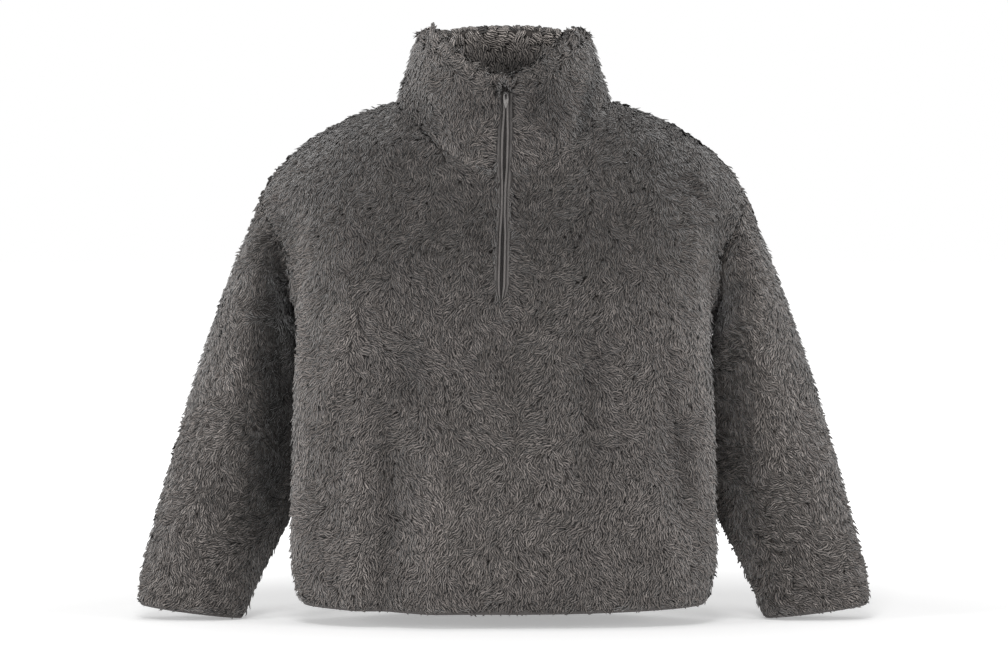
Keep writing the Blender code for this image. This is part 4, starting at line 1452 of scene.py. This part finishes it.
@dataclass
class Sleeve:
    """One sleeve, from the drop shoulder to the cuff."""

    side: int
    locks: int = 7200
    wisps: int = 3000

    def folds(self) -> tuple[Fold, ...]:
        """Lists the folds of this sleeve.

        Returns:
            The deep fold beside the torso, in front and behind, and then the smaller ones.
        """
        # Each fold's shade is painted: painted shadow in the deep fold beside the torso and in the
        # troughs, and a painted highlight on the ridges.
        if self.side < 0:
            deep = ((-0.250, -0.150), (-0.262, -0.260), (-0.262, -0.400), (-0.268, -0.510))
            small = (
                Fold(((-0.232, -0.12), (-0.222, -0.165)), 0.012, 0.004, 0.86),
                Fold(((-0.300, -0.280), (-0.320, -0.400)), 0.022, -0.003, 1.05),
                Fold(((-0.345, -0.420), (-0.330, -0.480)), 0.020, 0.003, 0.92),
            )
            beside = Fold(deep, 0.036, 0.018, 0.34)
        else:
            deep = ((0.252, -0.150), (0.256, -0.250), (0.258, -0.400), (0.266, -0.485))
            small = (
                Fold(((0.284, -0.147), (0.262, -0.200), (0.242, -0.246)), 0.011, -0.006, 1.22),
                Fold(((0.252, -0.140), (0.236, -0.185)), 0.012, 0.006, 0.72),
                Fold(((0.282, -0.192), (0.262, -0.225)), 0.012, 0.006, 0.80),
                Fold(((0.310, -0.300), (0.325, -0.400)), 0.022, -0.003, 1.05),
            )
            beside = Fold(deep, 0.032, 0.015, 0.74)
        behind = Fold(deep, 0.030, 0.010, 0.65, False)
        return (beside, behind) + small

    @staticmethod
    def seen(points: Array, normals: Array) -> Array:
        """Returns how thick the pile is asked for: a little less on the back."""
        return 0.7 + 0.3 * (normals[:, 1] < 0.2)

    def lay(self, points: Array, normals: Array) -> Array:
        """Returns the main lay for each point: down the sleeve, and outward."""
        return np.tile((0.78 * self.side, 0.0, -1.0), (len(points), 1))

    def build(self) -> None:
        """Makes the sleeve and its pile."""
        name = "sleeve_right" if self.side > 0 else "sleeve_left"
        shell = FleeceShell(
            name, sleeve_core(self.side), GROUND, (0.42, 0.52), 0.17, ("front_cloth", "back_cloth"),
            folds=self.folds(),
        ).build()
        combing = Combing(self.lay, 77 + self.side)
        for kind, ending, finish, count, seed in (
            (Pile, "_pile", SLEEVE_LOCKS_PAINTED_LIGHT, self.locks, 41),
            (Wisps, "_wisps", WISPS, self.wisps, 51),
        ):
            kind(
                name + ending, shell, combing, finish, count, seed + self.side, weight=self.seen
            ).build()
        shell.declare()


@dataclass
class Collar:
    """The high standing collar, with pile on both sides."""

    zip: Zip
    outer_locks: int = 4000
    inner_locks: int = 2600
    wisps: int = 2000

    # Each fold's shade is painted: painted shadow in the dark crease on the right and in the other
    # troughs, a painted highlight on the ridges and along the front's rim, and, in the rows with no
    # depth, painted shade on the collar's body and on its right front.
    FOLDS = (
        Fold(((0.107, 0.052), (0.094, 0.015), (0.083, -0.030)), 0.009, 0.006, 0.42),
        Fold(((-0.075, 0.005), (0.075, 0.005)), 0.045, 0.0, 0.88),
        Fold(((0.097, 0.048), (0.084, 0.012), (0.073, -0.030)), 0.008, -0.003, 1.14),
        Fold(((-0.109, 0.026), (-0.078, -0.030)), 0.011, 0.005, 0.74),
        Fold(
            ((-0.090, 0.083), (-0.066, 0.068), (-0.034, 0.043), (-0.004, 0.035)),
            0.013, -0.001, 1.28,
        ),
        Fold(((0.004, 0.033), (0.034, 0.041), (0.064, 0.058), (0.092, 0.085)), 0.013, -0.001, 1.02),
        Fold(((-0.078, -0.039), (-0.048, -0.054), (-0.017, -0.066)), 0.007, -0.002, 1.14),
        Fold(((0.065, -0.066), (0.088, -0.028)), 0.007, -0.002, 1.12),
        Fold(((0.040, 0.030), (0.060, -0.020)), 0.030, 0.0, 0.78),
    )

    @staticmethod
    def settle(points: Array) -> Array:
        """Lets the back and the sides of the collar sink a little, as soft fleece does."""
        drop = smooth_step(points[:, 2], 0.02, 0.08) * smooth_step(points[:, 1], -0.05, -0.01)
        return np.outer(drop, (0.0, 0.0, -0.0095))

    def lay(self, points: Array, normals: Array) -> Array:
        """Gives the main lay: down, away from the zip, up to the rim in front, and out over it.

        Args:
            points: N x 3 array of roots.
            normals: N x 3 array of the cloth's normals there.

        Returns:
            N x 3 array of directions.
        """
        lay = np.zeros_like(points)
        lay[:, 2] = -1.0
        near = self.zip.nearness(points, 0.014) * (points[:, 1] < 0.0)
        lay[:, 0] += np.sign(self.zip.beside(points)) * near * 2.0
        rise = self.to_rim(points)
        far = np.linalg.norm(rise, axis=1)
        near = (1.0 - smooth_step(far, 0.012, 0.026)) * smooth_step(far, 0.001, 0.003)
        near = near * self.in_front(points) * 2.5
        lay += rise / np.maximum(far, 1e-6)[:, None] * near[:, None]
        rim = smooth_step(normals[:, 2], 0.3, 0.8)[:, None]
        return lay * (1.0 - rim) + COLLAR_CORE.away(points) * rim

    @staticmethod
    def in_front(points: Array) -> Array:
        """Returns 1 on the collar's front, falling to 0 at its sides."""
        return 1.0 - smooth_step(points[:, 1], -0.045, -0.010)

    def below_rim(self, points: Array, normals: Array) -> Array:
        """Returns 0 inside the front's rim, where the outer pile rolls over, and 1 elsewhere."""
        far = np.linalg.norm(self.to_rim(points), axis=1)
        return 1.0 - self.in_front(points) * (1.0 - smooth_step(far, 0.005, 0.011))

    @staticmethod
    def to_rim(points: Array) -> Array:
        """Finds the way to the collar's rim.

        Args:
            points: N x 3 array of places.

        Returns:
            N x 3 array of the ways from the places to the nearest ones on the rim.
        """
        mesh = node_geometry("collar")
        edge = coordinates(mesh)[vertex_normals(mesh)[:, 2] > 0.55]
        tree = KDTree(len(edge))
        for i, place in enumerate(edge):
            tree.insert(place, i)
        tree.balance()
        return np.array([np.array(tree.find(p)[0]) - p for p in points])

    def build(self) -> None:
        """Makes the collar and its pile."""
        shell = FleeceShell(
            "collar", COLLAR_CORE, GROUND, (0.60, 0.11), 0.062, ("front_cloth", "back_cloth"),
            wall=0.014, both_sides=True, settle=self.settle, folds=self.FOLDS,
        ).build()
        combing = Combing(self.lay, 91)
        clear = self.zip.keep_clear
        Pile(
            "collar_pile", shell, combing, LOCKS, self.outer_locks, 61, weight=clear, rim=True,
            overhang=0.009,
        ).build()
        Pile(
            "collar_inner_pile", shell, combing, INNER_LOCKS_PAINTED_LIGHT, self.inner_locks, 63, face=Face.INNER,
            weight=self.below_rim,
        ).build()
        Wisps(
            "collar_wisps", shell, combing, WISPS, self.wisps, 65, weight=clear, rim=True
        ).build()
        shell.declare()


@dataclass
class Binding:
    """One folded jersey binding, on its solid's form."""

    node: str
    flat: tuple[float, float]
    on: str

    def build(self) -> None:
        """Makes the binding."""
        piece = new_piece(self.node + "_strip", node_geometry(self.node), BINDING.material())
        subdivide(piece)
        paint_tone(piece.data, np.ones(len(piece.data.vertices)))
        declare(piece, self.node)
        log.info("%s: %d faces", piece.name, len(piece.data.polygons))


@dataclass
class Studio:
    """The floor, the lights and the camera."""

    floor_z: float = -0.604
    camera_at: Point = (0.0003, -5.69, 0.015)
    look_at: Point = (0.0003, 0.0, -0.270)
    lens: float = 173.9
    sky_light: float = 0.18
    floor_half: float = 12.0

    def light(self, name: str, place: Point, aim: Point, size: float, power: float) -> None:
        """Adds a soft square lamp.

        Args:
            name: its name.
            place: where it stands.
            aim: what it points at.
            size: its side in metres.
            power: its power in watts.
        """
        lamp = bpy.data.lights.new(name, "AREA")
        lamp.size = size
        lamp.energy = power
        self.stand(lamp, place, aim)

    @staticmethod
    def stand(data: bpy.types.ID, place: Point, aim: Point) -> bpy.types.Object:
        """Stands a lamp or the camera in the scene.

        Args:
            data: the lamp or the camera.
            place: where it stands.
            aim: what it points at.

        Returns:
            The new object.
        """
        item = bpy.data.objects.new(data.name, data)
        item.location = place
        item.rotation_euler = (Vector(aim) - Vector(place)).to_track_quat("-Z", "Y").to_euler()
        bpy.context.scene.collection.objects.link(item)
        return item

    def sky(self) -> None:
        """Makes a white backdrop that gives a softer light than it shows."""
        world = bpy.data.worlds.new("studio")
        world.use_nodes = True
        nodes, links = world.node_tree.nodes, world.node_tree.links
        glow, seen = nodes["Background"], nodes.new("ShaderNodeBackground")
        for shade, power in ((glow, self.sky_light), (seen, 1.0)):
            shade.inputs[0].default_value = (1.0, 1.0, 1.0, 1.0)
            shade.inputs[1].default_value = power
        mix = nodes.new("ShaderNodeMixShader")
        path = nodes.new("ShaderNodeLightPath")
        links.new(path.outputs["Is Camera Ray"], mix.inputs[0])
        links.new(glow.outputs[0], mix.inputs[1])
        links.new(seen.outputs[0], mix.inputs[2])
        links.new(mix.outputs[0], nodes["World Output"].inputs["Surface"])
        bpy.context.scene.world = world

    def build(self) -> None:
        """Makes the studio."""
        mesh = bpy.data.meshes.new("floor")
        signs = ((-1, -1), (1, -1), (1, 1), (-1, 1))
        corners = [(x * self.floor_half, y * self.floor_half, self.floor_z) for x, y in signs]
        mesh.from_pydata(corners, [], [(0, 1, 2, 3)])
        floor = new_piece("floor", mesh, FloorFinish().material())
        self.sky()
        bpy.context.scene.view_settings.view_transform = "Standard"
        self.light("left", (-2.6, -1.5, -0.1), (0.0, 0.0, -0.40), 1.1, 54.0)
        self.light("right", (2.6, -1.5, -0.1), (0.0, 0.0, -0.40), 1.1, 48.0)
        self.light("front", (-0.3, -2.8, 2.2), (0.0, 0.0, -0.3), 1.2, 49.0)
        self.light("top", (0.0, 0.3, 2.6), (0.0, 0.1, -0.6), 2.6, 26.0)
        data = bpy.data.cameras.new("camera")
        data.lens = self.lens
        data.sensor_width = 36.0
        data.clip_end = 60.0
        bpy.context.scene.camera = self.stand(data, self.camera_at, self.look_at)


def main() -> None:
    """Builds the studio and then the garment, piece by piece."""
    logging.basicConfig(level=logging.INFO, format="%(message)s")
    closure = Zip()
    Studio().build()
    Torso(closure).build()
    for side in (-1, 1):
        Sleeve(side).build()
    Collar(closure).build()
    closure.build()
    for binding in (
        Binding("hem_binding", (1.10, 0.010), "front_cloth"),
        Binding("cuff_binding_left", (0.28, 0.010), "sleeve_left_cloth"),
        Binding("cuff_binding_right", (0.28, 0.010), "sleeve_right_cloth"),
    ):
        binding.build()


if __name__ == "__main__":
    main()
